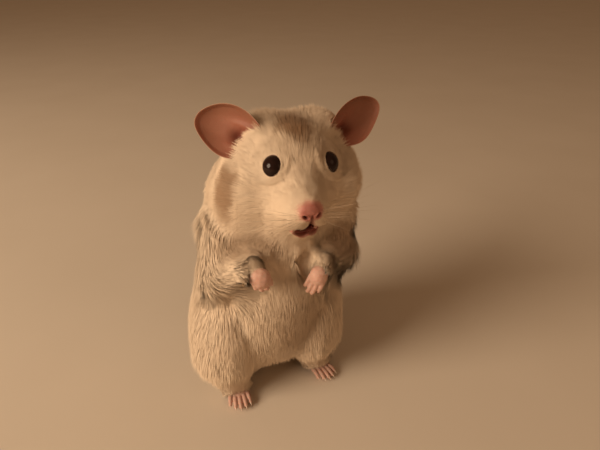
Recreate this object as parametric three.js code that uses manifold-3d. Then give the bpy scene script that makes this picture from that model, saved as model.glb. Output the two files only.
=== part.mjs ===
// A Syrian hamster (Mesocricetus auratus) sitting up on its hind feet: a still, life-size model.
//
// Millimetres, +Z up, floor at z = 0. The animal faces -Y, and its right side is towards -X.
// The body is modelled whole as one smooth solid, out to the tips of the coat, and is then
// parted with thin cuts into the pieces that a person would name.

import * as THREE from "three";
import { mergeVertices } from "three/addons/utils/BufferGeometryUtils.js";
import Module from "manifold-3d";

const wasm = await Module();
wasm.setup();

// ---- Driving dimensions -------------------------------------------------

const CROWN = 93; // height of the top of the head, between the ears
const HEAD_LENGTH = 40; // nose tip to nape
const HEAD_WIDTH = 43; // over the cheeks, coat included
const BODY_WIDTH = 53; // over the haunches, coat included
const BODY_DEPTH = 47; // belly to back
const EYE_RADIUS = 3.4; // of the eyeball
const EAR_LENGTH = 20.5; // root, hidden in the coat, to the rim
const EAR_WIDTH = 16;
const FOOT_LENGTH = 21; // heel to the tip of the middle toe
const HAND_LENGTH = 9; // wrist to the tips of the fingers
const LEAN = Math.tan(THREE.MathUtils.degToRad(3)); // the body leans to its left as it rises
const GAP = 0.34; // width of every cut between two pieces
const RIGHT = -1; // the animal's right side
const LEFT = 1;
const SIDES = [
  ["right", RIGHT],
  ["left", LEFT],
];
// Length of a facet on each kind of piece, and on the hollows that its neighbours are cut with.
const FACET = { body: 5.2, head: 3.8, arm: 3.8, foot: 1.7, hand: 1.1, nose: 1.5, tail: 1.8 };
const HOLLOW = { foot: 2.2, hand: 1.6 };

// ---- Smooth solids from distance functions -------------------------------

// Each shape is a function of a point [x, y, z] that gives the distance to its surface,
// negative inside.

function clamp01(t) {
  return Math.min(1, Math.max(0, t));
}

// An ellipsoid about `centre`; `turn` is an optional rotation in degrees about X, Y and Z.
function ball(centre, half, turn = [0, 0, 0]) {
  const spin = new THREE.Matrix4().makeRotationFromEuler(
    new THREE.Euler(...turn.map(THREE.MathUtils.degToRad)),
  );
  const inverse = spin.invert();
  const q = new THREE.Vector3();
  return (p) => {
    q.set(p[0] - centre[0], p[1] - centre[1], p[2] - centre[2]).applyMatrix4(inverse);
    const near = Math.hypot(q.x / half[0], q.y / half[1], q.z / half[2]);
    const steep = Math.hypot(q.x / half[0] ** 2, q.y / half[1] ** 2, q.z / half[2] ** 2);
    return steep < 1e-9 ? -Math.min(...half) : (near * (near - 1)) / steep;
  };
}

// A rounded rod from a to b whose radius goes from ra to rb.
function rod(a, b, ra, rb) {
  const along = b.map((v, i) => v - a[i]);
  const square = along.reduce((s, v) => s + v * v, 0);
  return (p) => {
    const dot = along.reduce((s, v, i) => s + v * (p[i] - a[i]), 0);
    const t = clamp01(dot / square);
    const off = Math.hypot(...along.map((v, i) => p[i] - a[i] - t * v));
    return off - (ra + (rb - ra) * t);
  };
}

// Joins shapes into one, filling the crease between them over about `soft` millimetres.
function blend(soft, shapes) {
  return (p) =>
    shapes.reduce((so_far, shape) => {
      const d = shape(p);
      const h = Math.max(soft - Math.abs(so_far - d), 0) / soft;
      return Math.min(so_far, d) - (h * h * soft) / 4;
    }, 1e3);
}

// ---- From a distance function to a closed mesh ----------------------------

// Surface nets: one vertex in each grid cell that the surface crosses, moved onto the surface,
// and one quad across each grid edge that it crosses. The box closes what it cuts through.
function solidOf(shape, low, high, cell) {
  const inBox = (p) =>
    Math.max(shape(p), ...p.map((v, i) => Math.max(low[i] - v, v - high[i])));
  const start = low.map((v) => v - 1.5 * cell);
  const count = high.map((v, i) => Math.ceil((v + 1.5 * cell - start[i]) / cell) + 1);
  const [nx, ny, nz] = count;
  const at = (i, j, k) => i + nx * (j + ny * k);
  const place = (i, j, k) => [start[0] + i * cell, start[1] + j * cell, start[2] + k * cell];
  const value = new Float64Array(nx * ny * nz);
  for (let k = 0; k < nz; k++)
    for (let j = 0; j < ny; j++)
      for (let i = 0; i < nx; i++) value[at(i, j, k)] = inBox(place(i, j, k));

  const position = [];
  const vertexOf = new Int32Array(nx * ny * nz).fill(-1);
  for (let k = 0; k + 1 < nz; k++)
    for (let j = 0; j + 1 < ny; j++)
      for (let i = 0; i + 1 < nx; i++) {
        const v = crossing(i, j, k);
        if (!v) continue;
        vertexOf[at(i, j, k)] = position.length / 3;
        position.push(...settle(v));
      }

  // The mean of the places where the surface crosses the 12 edges of a cell, or null.
  function crossing(i, j, k) {
    const sum = [0, 0, 0];
    let found = 0;
    for (let axis = 0; axis < 3; axis++)
      for (let corner = 0; corner < 4; corner++) {
        const a = [i, j, k];
        a[(axis + 1) % 3] += corner & 1;
        a[(axis + 2) % 3] += corner >> 1;
        const b = [...a];
        b[axis] += 1;
        const va = value[at(...a)];
        const vb = value[at(...b)];
        if (va < 0 === vb < 0) continue;
        const t = va / (va - vb);
        const pa = place(...a);
        const pb = place(...b);
        for (let n = 0; n < 3; n++) sum[n] += pa[n] + t * (pb[n] - pa[n]);
        found++;
      }
    return found ? sum.map((s) => s / found) : null;
  }

  // Slides a point along the slope of the field onto the surface, by no more than half a cell.
  function settle(p) {
    const step = 0.02;
    let q = p;
    for (let pass = 0; pass < 3; pass++) {
      const d = inBox(q);
      const slope = [0, 1, 2].map((n) => {
        const ahead = [...q];
        ahead[n] += step;
        return (inBox(ahead) - d) / step;
      });
      const square = slope.reduce((s, v) => s + v * v, 1e-9);
      q = q.map((v, n) => v - (d * slope[n]) / square);
    }
    return q.map((v, n) => Math.min(p[n] + cell / 2, Math.max(p[n] - cell / 2, v)));
  }

  const index = [];
  for (let k = 1; k + 1 < nz; k++)
    for (let j = 1; j + 1 < ny; j++)
      for (let i = 1; i + 1 < nx; i++)
        for (let axis = 0; axis < 3; axis++) {
          const next = [i, j, k];
          next[axis] += 1;
          const inside = value[at(i, j, k)] < 0;
          if (inside === value[at(...next)] < 0) continue;
          const quad = [
            [0, 0],
            [1, 0],
            [1, 1],
            [0, 1],
          ].map(([s, t]) => {
            const c = [i, j, k];
            c[(axis + 1) % 3] -= s;
            c[(axis + 2) % 3] -= t;
            return vertexOf[at(...c)];
          });
          if (!inside) quad.reverse();
          const span = (a, b) =>
            Math.hypot(...[0, 1, 2].map((n) => position[3 * a + n] - position[3 * b + n]));
          const [a, b, c, d] = quad;
          if (span(a, c) < span(b, d)) index.push(a, b, c, a, c, d);
          else index.push(a, b, d, b, c, d);
        }
  const geometry = new THREE.BufferGeometry();
  geometry.setAttribute("position", new THREE.Float32BufferAttribute(position, 3));
  geometry.setIndex(index);
  return manifoldOf(geometry);
}

// A closed three.js geometry as a solid that can be cut and joined.
function manifoldOf(geometry) {
  const bare = geometry.clone();
  bare.deleteAttribute("normal");
  bare.deleteAttribute("uv");
  const merged = mergeVertices(bare, 1e-4);
  return new wasm.Manifold(
    new wasm.Mesh({
      numProp: 3,
      vertProperties: merged.attributes.position.array,
      triVerts: new Uint32Array(merged.index.array),
    }),
  );
}

// A solid back as three.js geometry.
function geometryOf(solid) {
  const mesh = solid.getMesh();
  const geometry = new THREE.BufferGeometry();
  const position = new Float32Array(mesh.numVert * 3);
  for (let v = 0; v < mesh.numVert; v++)
    for (let n = 0; n < 3; n++)
      position[3 * v + n] = mesh.vertProperties[v * mesh.numProp + n];
  geometry.setAttribute("position", new THREE.BufferAttribute(position, 3));
  geometry.setIndex(new THREE.BufferAttribute(mesh.triVerts, 1));
  geometry.computeVertexNormals();
  return geometry;
}

// The largest connected body of a solid, so that a cut leaves no crumbs.
function largest(solid) {
  const bodies = solid.decompose();
  return bodies.reduce((best, body) => (body.volume() > best.volume() ? body : best));
}

// ---- The pose -------------------------------------------------------------

// Places are written for an upright animal and lean over with height above the hips.
const leanAt = (z) => LEAN * Math.max(0, z - 12);
const leant = ([x, y, z]) => [x + leanAt(z), y, z];
const upright = ([x, y, z]) => [x - leanAt(z), y, z];

// The head has its own frame, at the middle of the skull and facing -Y.
const headAt = [3.6, -3, 78];
const headTurn = THREE.MathUtils.degToRad(-5); // towards its right
const turned = ([x, y, z], angle) => [
  x * Math.cos(angle) - y * Math.sin(angle),
  x * Math.sin(angle) + y * Math.cos(angle),
  z,
];
const fromHead = (p) => turned(p, headTurn).map((v, i) => v + headAt[i]);
const toHead = (p) => turned(p.map((v, i) => v - headAt[i]), -headTurn);
const onHead = (shape) => (p) => shape(toHead(p));

// ---- Trunk ----------------------------------------------------------------

const halfWidth = BODY_WIDTH / 2;
const halfDepth = BODY_DEPTH / 2;
const hipShift = -2.4; // the weight is over the right foot
const trunkShape = blend(9, [
  ball([hipShift, 6, 22], [halfWidth - 5, halfDepth - 1, 22.4]), // hips and rump
  ball([0.3 * hipShift, 1, 37], [halfWidth - 1.6, halfDepth - 0.5, 22]), // belly
  ball([0, 2.5, 54], [halfWidth - 4, halfDepth - 5, 19]), // chest
  ball([1, 6, 67], [halfWidth - 6, halfDepth - 5.5, 16]), // shoulders
]);

// ---- Head -----------------------------------------------------------------

const crownAbove = CROWN - headAt[2];
const noseTip = [0, -22.4, -7];
const cheekHalf = 11;
const cheekOut = HEAD_WIDTH / 2 - cheekHalf;
const skull = blend(5, [
  ball([0, 3.2, 0.6], [15.4, HEAD_LENGTH / 2 - 2.6, crownAbove - 1]), // cranium
  ...SIDES.map(([, side]) => ball([side * 8, 5.4, 4.6], [8.6, 9, crownAbove - 4.8])), // ear mounds
  rod([0, -4, 2.2], [0, -16.4, -4], 10, 5), // forehead and bridge of the nose
]);
const cheeks = blend(
  4,
  SIDES.map(([, side]) => ball([side * cheekOut, -1, -6.4], [cheekHalf, 13, 10.6], [0, 0, side * 16])),
);
const muzzle = blend(3, [
  rod([0, -8.5, -6], [0, -17.8, -7.4], 9.8, 3.9),
  ...SIDES.map(([, side]) => ball([side * 3, -15.6, -9.6], [4.3, 4.8, 4.1])), // whisker pads
]);
const chin = ball([0, -12.4, -14], [5.4, 6, 3.6], [10, 0, 0]);
const headShape = blend(4, [blend(6, [skull, cheeks]), muzzle, chin]);

// ---- Eyes, nose, mouth and ears ----------------------------------------------

const eyeAt = (side) => [side * 6.9, -10, 2.4]; // in the head's frame

// A nose pad: a low, rounded button over two nostrils.
const nosePad = blend(1.2, [
  ball([0, noseTip[1] + 2.1, noseTip[2] + 0.9], [3.1, 2.2, 2.2]),
  ...SIDES.map(([, side]) => ball([side * 1.7, noseTip[1] + 2.2, noseTip[2]], [1.6, 1.9, 1.8])),
]);
const nostrilAt = (side) => [side * 1.5, noseTip[1] + 0.4, noseTip[2] - 0.3];
const mouthAt = [0, -17.4, -13.4];

// The ear's own frame: along from root to tip, across, and out of its hollow face.
function earFrame(side) {
  const along = new THREE.Vector3(side * 0.84, 0.46, 0.3).normalize();
  const facing = new THREE.Vector3(side * 0.5, -0.74, 0.36);
  facing.addScaledVector(along, -facing.dot(along)).normalize();
  const across = new THREE.Vector3().crossVectors(along, facing);
  return { along, facing, across };
}

// A thin cupped leaf, broadest past its middle, whose root dips into the coat.
function earSolid(side) {
  const { along, facing, across } = earFrame(side);
  const root = new THREE.Vector3(side * 10.8, -3.2, 5.8);
  const ear = new THREE.SphereGeometry(1, 16, 6);
  const spot = ear.attributes.position;
  const v = new THREE.Vector3();
  for (let i = 0; i < spot.count; i++) {
    v.fromBufferAttribute(spot, i);
    const out = Math.hypot(v.x, v.y); // 0 at the middle of the leaf, 1 at its rim
    const tipward = clamp01(0.5 + 0.5 * v.y);
    const lower = Math.max(0, side * v.x); // towards the lower edge, which is shorter
    const length = EAR_LENGTH * (1 - 0.2 * lower ** 2);
    const width = EAR_WIDTH * (0.43 + 0.07 * Math.sin(Math.PI * Math.min(1, 1.1 * tipward)));
    const cup = -3.2 * (1 - out * out) + 1.6 * (1 - tipward) * v.x * v.x;
    const thick = 0.34 + 0.5 * (1 - tipward);
    const leaf = new THREE.Vector3()
      .copy(root)
      .addScaledVector(along, length * tipward)
      .addScaledVector(across, width * v.x)
      .addScaledVector(facing, cup + thick * Math.sign(v.z) * Math.sqrt(Math.abs(v.z)));
    spot.setXYZ(i, ...leant(fromHead(leaf.toArray())));
  }
  return manifoldOf(ear);
}

// ---- Arms and hands ----------------------------------------------------------

// Each arm is folded on the chest, with the hand hanging from a bent wrist.
const ARMS = {
  [RIGHT]: {
    shoulder: [-17.5, -1, 60],
    elbow: [-20, -9, 47.5],
    wrist: [-13.6, -21.2, 54.4],
    palm: [-12, -24.4, 52.4],
    reach: [0.42, -0.32, -0.85],
    spread: [0.8, 0.1, 0.35],
  },
  [LEFT]: {
    shoulder: [17.5, -1, 60],
    elbow: [19, -9, 48],
    wrist: [8.4, -21.6, 52],
    palm: [6.4, -24, 49.4],
    reach: [-0.45, -0.22, -0.87],
    spread: [-0.85, 0.15, 0.3],
  },
};

const armShape = (side) => {
  const { shoulder, elbow, wrist } = ARMS[side];
  return blend(4, [rod(shoulder, elbow, 8, 6.8), rod(elbow, wrist, 6.6, 4.3)]);
};

// Fingers or toes that fan out from a palm, each bent once at its knuckle.
function digitsOf(count, palm, reach, spread, length, thick, fan) {
  const forward = new THREE.Vector3(...reach).normalize();
  const sideways = new THREE.Vector3(...spread);
  sideways.addScaledVector(forward, -sideways.dot(forward)).normalize();
  const back = new THREE.Vector3().crossVectors(sideways, forward);
  return Array.from({ length: count }, (_, n) => {
    const t = count > 1 ? (2 * n) / (count - 1) - 1 : 0; // -1 to 1 across the digits
    const lengthHere = length * (1 - 0.24 * t * t);
    const from = new THREE.Vector3(...palm)
      .addScaledVector(sideways, t * fan * 0.62)
      .addScaledVector(forward, thick);
    const knuckle = from
      .clone()
      .addScaledVector(forward, lengthHere * 0.55)
      .addScaledVector(sideways, t * fan * 0.3)
      .addScaledVector(back, thick * 0.35);
    const tip = knuckle
      .clone()
      .addScaledVector(forward, lengthHere * 0.4)
      .addScaledVector(sideways, t * fan * 0.12)
      .addScaledVector(back, -thick * 0.5);
    return { from, knuckle, tip };
  });
}

const fingerThick = 0.75;

function handParts(side) {
  const { wrist, palm, reach, spread } = ARMS[side];
  const fingers = digitsOf(4, palm, reach, spread, HAND_LENGTH * 0.52, fingerThick, 2.6);
  const back = [rod(wrist, palm, 2.2, 2.3), ball(palm, [2.7, 2, 2.5])];
  const shape = blend(1.1, [
    ...back,
    ...fingers.flatMap(({ from, knuckle, tip }) => [
      rod(from.toArray(), knuckle.toArray(), fingerThick * 1.15, fingerThick),
      rod(knuckle.toArray(), tip.toArray(), fingerThick, fingerThick * 0.8),
    ]),
  ]);
  return { shape, digits: fingers, room: blend(1.1, back) };
}

// ---- Legs and feet -------------------------------------------------------------

const LEGS = {
  [RIGHT]: {
    haunch: [-17, -2.5, 20],
    heel: [-13.5, 1.5, 2.7],
    toeRoot: [-15.2, -12.5, 1.7],
    reach: [-0.12, -1, -0.02],
  },
  [LEFT]: {
    haunch: [12, -2.5, 22],
    heel: [13, 3.5, 2.7],
    toeRoot: [14.6, -9.8, 1.7],
    reach: [0.2, -1, -0.02],
  },
};

const legShape = (side) => {
  const { haunch, heel, toeRoot } = LEGS[side];
  const knee = [haunch[0], haunch[1] - 4.5, haunch[2] - 5];
  const ankle = [toeRoot[0], toeRoot[1] + 4.5, 4.6];
  return blend(6, [
    ball(haunch, [12, 17, 19], [8, 0, 0]),
    rod(knee, ankle, 10, 4.4),
    rod(ankle, heel, 4.4, 4.4),
  ]);
};

const toeThick = 0.85;

function footParts(side) {
  const { heel, toeRoot, reach } = LEGS[side];
  const toes = digitsOf(5, toeRoot, reach, [side, 0, 0], FOOT_LENGTH * 0.29, toeThick, 3.1);
  const sole = [rod(heel, toeRoot, 3, 2.1), ball(toeRoot, [3.6, 3, 1.9])];
  const shape = blend(1.3, [
    ...sole,
    ...toes.flatMap(({ from, knuckle, tip }) => [
      rod(from.toArray(), knuckle.toArray(), toeThick * 1.2, toeThick),
      rod(knuckle.toArray(), tip.toArray(), toeThick, toeThick * 0.85),
    ]),
  ]);
  // The room that the foot needs in the leg: the same without the toes, which lie outside.
  const webbed = ball([toeRoot[0], toeRoot[1] - 2, toeRoot[2]], [5, 5, 2.4]);
  return { shape, digits: toes, room: blend(1.3, [...sole, webbed]) };
}

// A claw on the end of each digit: a short cone along its last joint, tipped down.
function clawSolid({ knuckle, tip }, radius, length) {
  const claw = new THREE.ConeGeometry(radius, length, 4);
  claw.translate(0, length / 2 - 0.3 * length, 0);
  const heading = tip.clone().sub(knuckle).normalize();
  heading.z -= 0.25;
  heading.normalize();
  claw.applyQuaternion(
    new THREE.Quaternion().setFromUnitVectors(new THREE.Vector3(0, 1, 0), heading),
  );
  claw.translate(tip.x, tip.y, tip.z);
  return manifoldOf(claw);
}

// ---- The whole body --------------------------------------------------------------

const tail = { root: [hipShift, 22, 9.5], tip: [hipShift, 29.5, 7], thick: 2.8, thin: 1.5 };

const bodyShape = blend(6, [
  blend(7.5, [trunkShape, onHead(headShape)]),
  ...SIDES.map(([, side]) => legShape(side)),
]);
const flesh = blend(3, [bodyShape, ...SIDES.map(([, side]) => armShape(side))]);
const leaning = (shape) => (p) => shape(upright(p));

const lowest = [-34, -34, -4]; // corners of a box round the whole animal
const highest = [36, 36, 100];

// ---- Cuts ------------------------------------------------------------------------

const WORLD = 200; // longer than anything here

// Everything on the far side of a plane through `point`, along `normal`.
function beyond(point, normal) {
  const block = new THREE.BoxGeometry(WORLD, WORLD, WORLD);
  block.translate(0, WORLD / 2, 0);
  const heading = new THREE.Vector3(...normal).normalize();
  block.applyQuaternion(
    new THREE.Quaternion().setFromUnitVectors(new THREE.Vector3(0, 1, 0), heading),
  );
  block.translate(...point);
  return manifoldOf(block);
}

// The point of a plane, moved along its normal.
function moved(point, normal, distance) {
  const heading = new THREE.Vector3(...normal).normalize().toArray();
  return point.map((v, i) => v + distance * heading[i]);
}

// The lowest and highest corners of a box of half-size `half` about a place on the body.
function boxAbout(point, half) {
  const middle = leant(point);
  return [middle.map((v, i) => v - half[i]), middle.map((v, i) => v + half[i])];
}

// A shape as a solid that leans with the body, grown by `grow` on every side.
function leaningSolid(shape, grow, [low, high], facet) {
  return solidOf(leaning((p) => shape(p) - grow), low, high, facet);
}

// An egg-shaped cutter, grown by `grow` on every side.
function eggSolid([centre, half], grow) {
  const egg = new THREE.SphereGeometry(1, 12, 8);
  egg.rotateX(Math.PI / 2);
  egg.scale(...half.map((v) => v + grow));
  egg.translate(...leant(centre));
  return manifoldOf(egg);
}

// A small ellipsoid placed in the head's frame.
function bead(centre, half, segments) {
  const round = new THREE.SphereGeometry(1, segments, Math.ceil(segments / 2));
  round.scale(...half);
  round.rotateZ(headTurn);
  round.translate(...leant(fromHead(centre)));
  return manifoldOf(round);
}

// The neck lies between two planes that come together towards the throat.
const headNormal = [0, -0.45, 0.89];
const headCut = [0, -1, 67];
const neckNormal = [0, -0.25, 0.97];
const neckCut = [0, 4, 59];
const down = headNormal.map((v) => -v);

const headHalf = beyond(headCut, headNormal);
const belowHead = beyond(moved(headCut, headNormal, -GAP), down);
const trunkSide = beyond(neckCut, neckNormal.map((v) => -v));
const neckSide = beyond(moved(neckCut, neckNormal, GAP), neckNormal);
const aboveFloor = beyond([0, 0, 0], [0, 0, 1]);

// ---- Materials ---------------------------------------------------------------------

const finish = (color, roughness) =>
  new THREE.MeshStandardMaterial({ color, roughness, metalness: 0 });
const cream = finish(0xe6cfa8, 0.9);
const smoke = finish(0xc4a680, 0.9);
const pink = finish(0xd79a8a, 0.6);
const earSkin = finish(0xa86a55, 0.7);
const eyeBlack = finish(0x120a0a, 0.08);

// ---- Pieces --------------------------------------------------------------------------

const nodes = new Map(); // name: [solid, material]
const keep = (name, solid, material) => nodes.set(name, [largest(solid), material]);

function buildEyes() {
  const sockets = SIDES.map(([name, side]) => {
    const size = (r) => [r, r, r];
    keep(`eye_${name}`, bead(eyeAt(side), size(EYE_RADIUS), 12), eyeBlack);
    return bead(eyeAt(side), size(EYE_RADIUS + GAP), 12);
  });
  return wasm.Manifold.union(sockets);
}

function buildNose() {
  const room = boxAbout(fromHead(noseTip), [6, 6, 6]);
  const pad = leaningSolid(onHead(nosePad), 0, room, FACET.nose);
  const nostrils = SIDES.map(([, side]) => bead(nostrilAt(side), [0.7, 0.8, 0.5], 8));
  keep("nose", wasm.Manifold.difference([pad, ...nostrils]), pink);
  return leaningSolid(onHead(nosePad), GAP, room, FACET.nose);
}

function buildEars() {
  const headRoom = leaningSolid(bodyShape, GAP, [[-30, -36, 50], highest], FACET.head);
  for (const [name, side] of SIDES) keep(`ear_${name}`, earSolid(side).subtract(headRoom), earSkin);
}

function buildHead() {
  const whole = leaningSolid(bodyShape, 0, [[-30, -34, 50], highest], FACET.head);
  const mouth = bead(mouthAt, [3.9, 3, 0.9], 14);
  const hollows = [mouth, buildNose(), buildEyes()];
  keep("head", wasm.Manifold.difference([whole.intersect(headHalf), ...hollows]), cream);
  buildEars();
}

// A hand or a foot, with its claws; returns the hollow that it needs in its limb.
function buildPaw(name, { shape, digits, room }, box, [facet, hollowFacet], [clawThick, clawLong]) {
  const claws = digits.map((d) => clawSolid(leantDigit(d), clawThick, clawLong));
  const paw = wasm.Manifold.union([leaningSolid(shape, 0, box, facet), ...claws]);
  keep(name, paw.intersect(aboveFloor), pink);
  return leaningSolid(room, 2 * GAP, box, hollowFacet);
}

function leantDigit({ knuckle, tip }) {
  const shift = (v) => new THREE.Vector3(...leant(v.toArray()));
  return { knuckle: shift(knuckle), tip: shift(tip) };
}

// Takes the arm and the hand of one side out of the body, and returns the rest.
function buildArm(body, name, side) {
  const { wrist, palm } = ARMS[side];
  const facets = [FACET.hand, HOLLOW.hand];
  const hollow = buildPaw(
    `hand_${name}`, handParts(side), boxAbout(palm, [9, 9, 9]), facets, [0.36, 1.5],
  );
  const eggs = [
    [[side * 20, -9, 53], [11.5, 15, 16]],
    [wrist, [7, 7, 7]],
  ];
  const within = wasm.Manifold.union(eggs.map((egg) => eggSolid(egg, 0)));
  const around = wasm.Manifold.union(eggs.map((egg) => eggSolid(egg, GAP)));
  const limb = leaningSolid(flesh, 0, boxAbout(eggs[0][0], [14, 21, 18]), FACET.arm);
  keep(`arm_${name}`, limb.intersect(within).intersect(belowHead).subtract(hollow), cream);
  return wasm.Manifold.difference([body, around, hollow]);
}

// Takes the leg and the foot of one side out of the body, and returns the rest.
function buildLeg(body, name, side) {
  const facets = [FACET.foot, HOLLOW.foot];
  const footBox = boxAbout(LEGS[side].toeRoot, [9, 20, 8]);
  const hollow = buildPaw(`foot_${name}`, footParts(side), footBox, facets, [0.42, 1.7]);
  const egg = [[hipShift + side * 19, -6, 16], [14.5, 21, 26]];
  keep(`leg_${name}`, body.intersect(eggSolid(egg, 0)).subtract(hollow), cream);
  return wasm.Manifold.difference([body, eggSolid(egg, GAP), hollow]);
}

function buildTail() {
  const whole = rod(tail.root, tail.tip, tail.thick, tail.thin);
  const solid = leaningSolid(whole, 0, boxAbout(tail.tip, [6, 12, 9]), FACET.tail);
  const body = leaningSolid(trunkShape, GAP, [lowest, highest], FACET.body);
  keep("tail", solid.subtract(body), pink);
}

function buildBody() {
  const whole = leaningSolid(flesh, 0, [lowest, highest], FACET.body);
  let body = whole.intersect(belowHead).intersect(aboveFloor);
  for (const [name, side] of SIDES) {
    body = buildArm(body, name, side);
    body = buildLeg(body, name, side);
  }
  keep("neck", body.intersect(neckSide), smoke);
  keep("trunk", body.intersect(trunkSide), cream);
}

buildHead();
buildBody();
buildTail();

// ---- The model ---------------------------------------------------------------------

const figure = new THREE.Group();
for (const [name, [solid, material]] of nodes) {
  const mesh = new THREE.Mesh(geometryOf(solid), material);
  mesh.name = name;
  figure.add(mesh);
}

// The origin is under the middle of the whole, at the level of the floor.
const bounds = new THREE.Box3().setFromObject(figure, true);
const middle = bounds.getCenter(new THREE.Vector3());
figure.position.set(-middle.x, -middle.y, -bounds.min.z);

const hamster = new THREE.Group();
hamster.add(figure);

export default hamster;
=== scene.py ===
# %% [markdown]
# # A Syrian hamster, sitting up
#
# A life-size, still model of a young Syrian hamster that sits on its hind feet with its hands
# held to its chest. The solids that carry its size and pose come in as a frame of named nodes.
# This lesson dresses them: one living skin, a coat of many thousand small tufts, glossy eyes,
# bare ears, nose and paws, claws and whiskers, and then a camera and soft light.

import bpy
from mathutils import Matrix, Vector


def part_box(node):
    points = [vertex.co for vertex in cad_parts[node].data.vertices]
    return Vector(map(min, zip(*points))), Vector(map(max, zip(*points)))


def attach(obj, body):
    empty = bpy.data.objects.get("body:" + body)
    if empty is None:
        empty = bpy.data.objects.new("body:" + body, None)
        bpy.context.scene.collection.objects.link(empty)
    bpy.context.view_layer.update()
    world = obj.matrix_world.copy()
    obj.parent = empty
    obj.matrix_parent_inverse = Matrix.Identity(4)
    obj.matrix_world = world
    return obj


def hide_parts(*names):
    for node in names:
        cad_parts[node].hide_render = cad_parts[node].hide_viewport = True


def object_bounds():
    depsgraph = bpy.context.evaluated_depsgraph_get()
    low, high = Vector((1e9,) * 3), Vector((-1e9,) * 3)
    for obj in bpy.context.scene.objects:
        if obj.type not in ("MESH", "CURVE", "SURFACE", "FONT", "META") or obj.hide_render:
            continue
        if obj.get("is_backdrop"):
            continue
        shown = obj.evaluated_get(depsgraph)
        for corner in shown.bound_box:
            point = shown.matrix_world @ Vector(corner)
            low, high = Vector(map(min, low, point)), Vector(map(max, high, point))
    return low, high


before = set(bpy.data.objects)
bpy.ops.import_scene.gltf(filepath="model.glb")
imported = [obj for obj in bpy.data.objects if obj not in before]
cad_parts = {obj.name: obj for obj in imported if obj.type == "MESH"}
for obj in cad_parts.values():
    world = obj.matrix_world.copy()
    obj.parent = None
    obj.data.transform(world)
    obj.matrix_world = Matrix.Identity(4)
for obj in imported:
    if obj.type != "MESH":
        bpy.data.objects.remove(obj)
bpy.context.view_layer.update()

# %% Modules and units
import math
import time

import bmesh
import bpy
import numpy as np
from mathutils import Vector, kdtree, noise
from mathutils.bvhtree import BVHTree

MM = 0.001  # every size below is in metres, so a millimetre is written 1 * MM
SEED = 11
started = time.perf_counter()
chance = np.random.default_rng(SEED)
noise.seed_set(SEED)  # without this, Blender's noise would start from the clock
scene = bpy.context.scene


def log(*words):
    print(f"[{time.perf_counter() - started:5.1f} s]", *words)


# %% [markdown]
# ## Where things are
#
# The head turns a little to the animal's right and leans a little to its left, so it helps to
# have axes that go with it. Both eyes are nodes of their own: the line between them is the
# head's side axis, and their middle is a good origin for everything on the face.

# %% The head's own axes
LEAN = math.tan(math.radians(3))  # sideways for each metre up: the whole animal leans
SIDES = {"right": -1, "left": 1}


def middle(node):
    low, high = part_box(node)
    return np.array((low + high) / 2)


def inside_box(node, shares):
    """A point in a node's box, from 0 at its lowest corner to 1 at its highest on each axis."""
    low, high = (np.array(c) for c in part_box(node))
    return low + (high - low) * np.array(shares)


between_eyes = (middle("eye_right") + middle("eye_left")) / 2
side_axis = middle("eye_left") - middle("eye_right")
side_axis[2] = 0
side_axis /= np.linalg.norm(side_axis)
front_axis = np.array([side_axis[1], -side_axis[0], 0])
lean_axis = np.array([LEAN, 0, 1])


def on_head(side, front, up):
    """A point in millimetres from the middle between the eyes, to the left, front and top."""
    return between_eyes + MM * (side * side_axis + front * front_axis + up * lean_axis)


def to_head(points):
    """Points in the head's axes, in millimetres: to the left, front and top."""
    away = (np.asarray(points) - between_eyes) / MM
    away = away - np.outer(away[:, 2], [LEAN, 0, 0])
    return np.stack([away @ side_axis, away @ front_axis, away[:, 2]], 1)


log("the eyes are", round(np.linalg.norm(middle("eye_left") - middle("eye_right")) / MM, 1), "mm apart")

# %% [markdown]
# ## Camera, floor and light
#
# The camera looks down at the animal from in front and a little to its right. A pale floor
# fills the view. The light is a large soft lamp on the right of the animal, a weak one on the
# other side so that the shaded flank keeps its form, and a dim warm surround.

# %% Camera
CAMERA_TURN = math.radians(-20)
CAMERA_DIP = math.radians(28)
CAMERA_HEIGHT = 133 * MM
CAMERA_AWAY = 147.9 * MM
CAMERA_ASIDE = 10.6 * MM

camera_right = Vector((math.cos(CAMERA_TURN), math.sin(CAMERA_TURN), 0))
camera_ahead = Vector((-math.sin(CAMERA_TURN), math.cos(CAMERA_TURN), 0))
body_middle = Vector(middle("trunk"))
body_middle.z = 0

camera_data = bpy.data.cameras.new("camera")
camera_data.sensor_width = 36
camera_data.lens = 31.2
camera_data.clip_start = 0.01
camera = bpy.data.objects.new("camera", camera_data)
camera.location = (
    body_middle
    + camera_right * CAMERA_ASIDE
    - camera_ahead * CAMERA_AWAY
    + Vector((0, 0, CAMERA_HEIGHT))
)
camera.rotation_euler = (math.radians(90) - CAMERA_DIP, 0, CAMERA_TURN)
scene.collection.objects.link(camera)
scene.camera = camera
log("camera at", tuple(round(v / MM, 1) for v in camera.location), "mm")


# %% Lamps
LAMP_AIM = 50 * MM  # height on the animal that the lamps look at
SURROUND = (1.0, 0.58, 0.31)
SURROUND_STRENGTH = 0.185


def soft_lamp(name, aside, ahead, height, size, power, colour):
    """A round lamp aimed at the animal; its place is told from the camera's right and front."""
    lamp = bpy.data.lights.new(name, "AREA")
    lamp.shape = "DISK"
    lamp.size = size
    lamp.energy = power
    lamp.color = colour
    holder = bpy.data.objects.new(name, lamp)
    holder.location = body_middle + camera_right * aside + camera_ahead * ahead
    holder.location.z = height
    aim = body_middle + Vector((0, 0, LAMP_AIM))
    holder.rotation_euler = (aim - holder.location).to_track_quat("-Z", "Y").to_euler()
    scene.collection.objects.link(holder)


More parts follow.
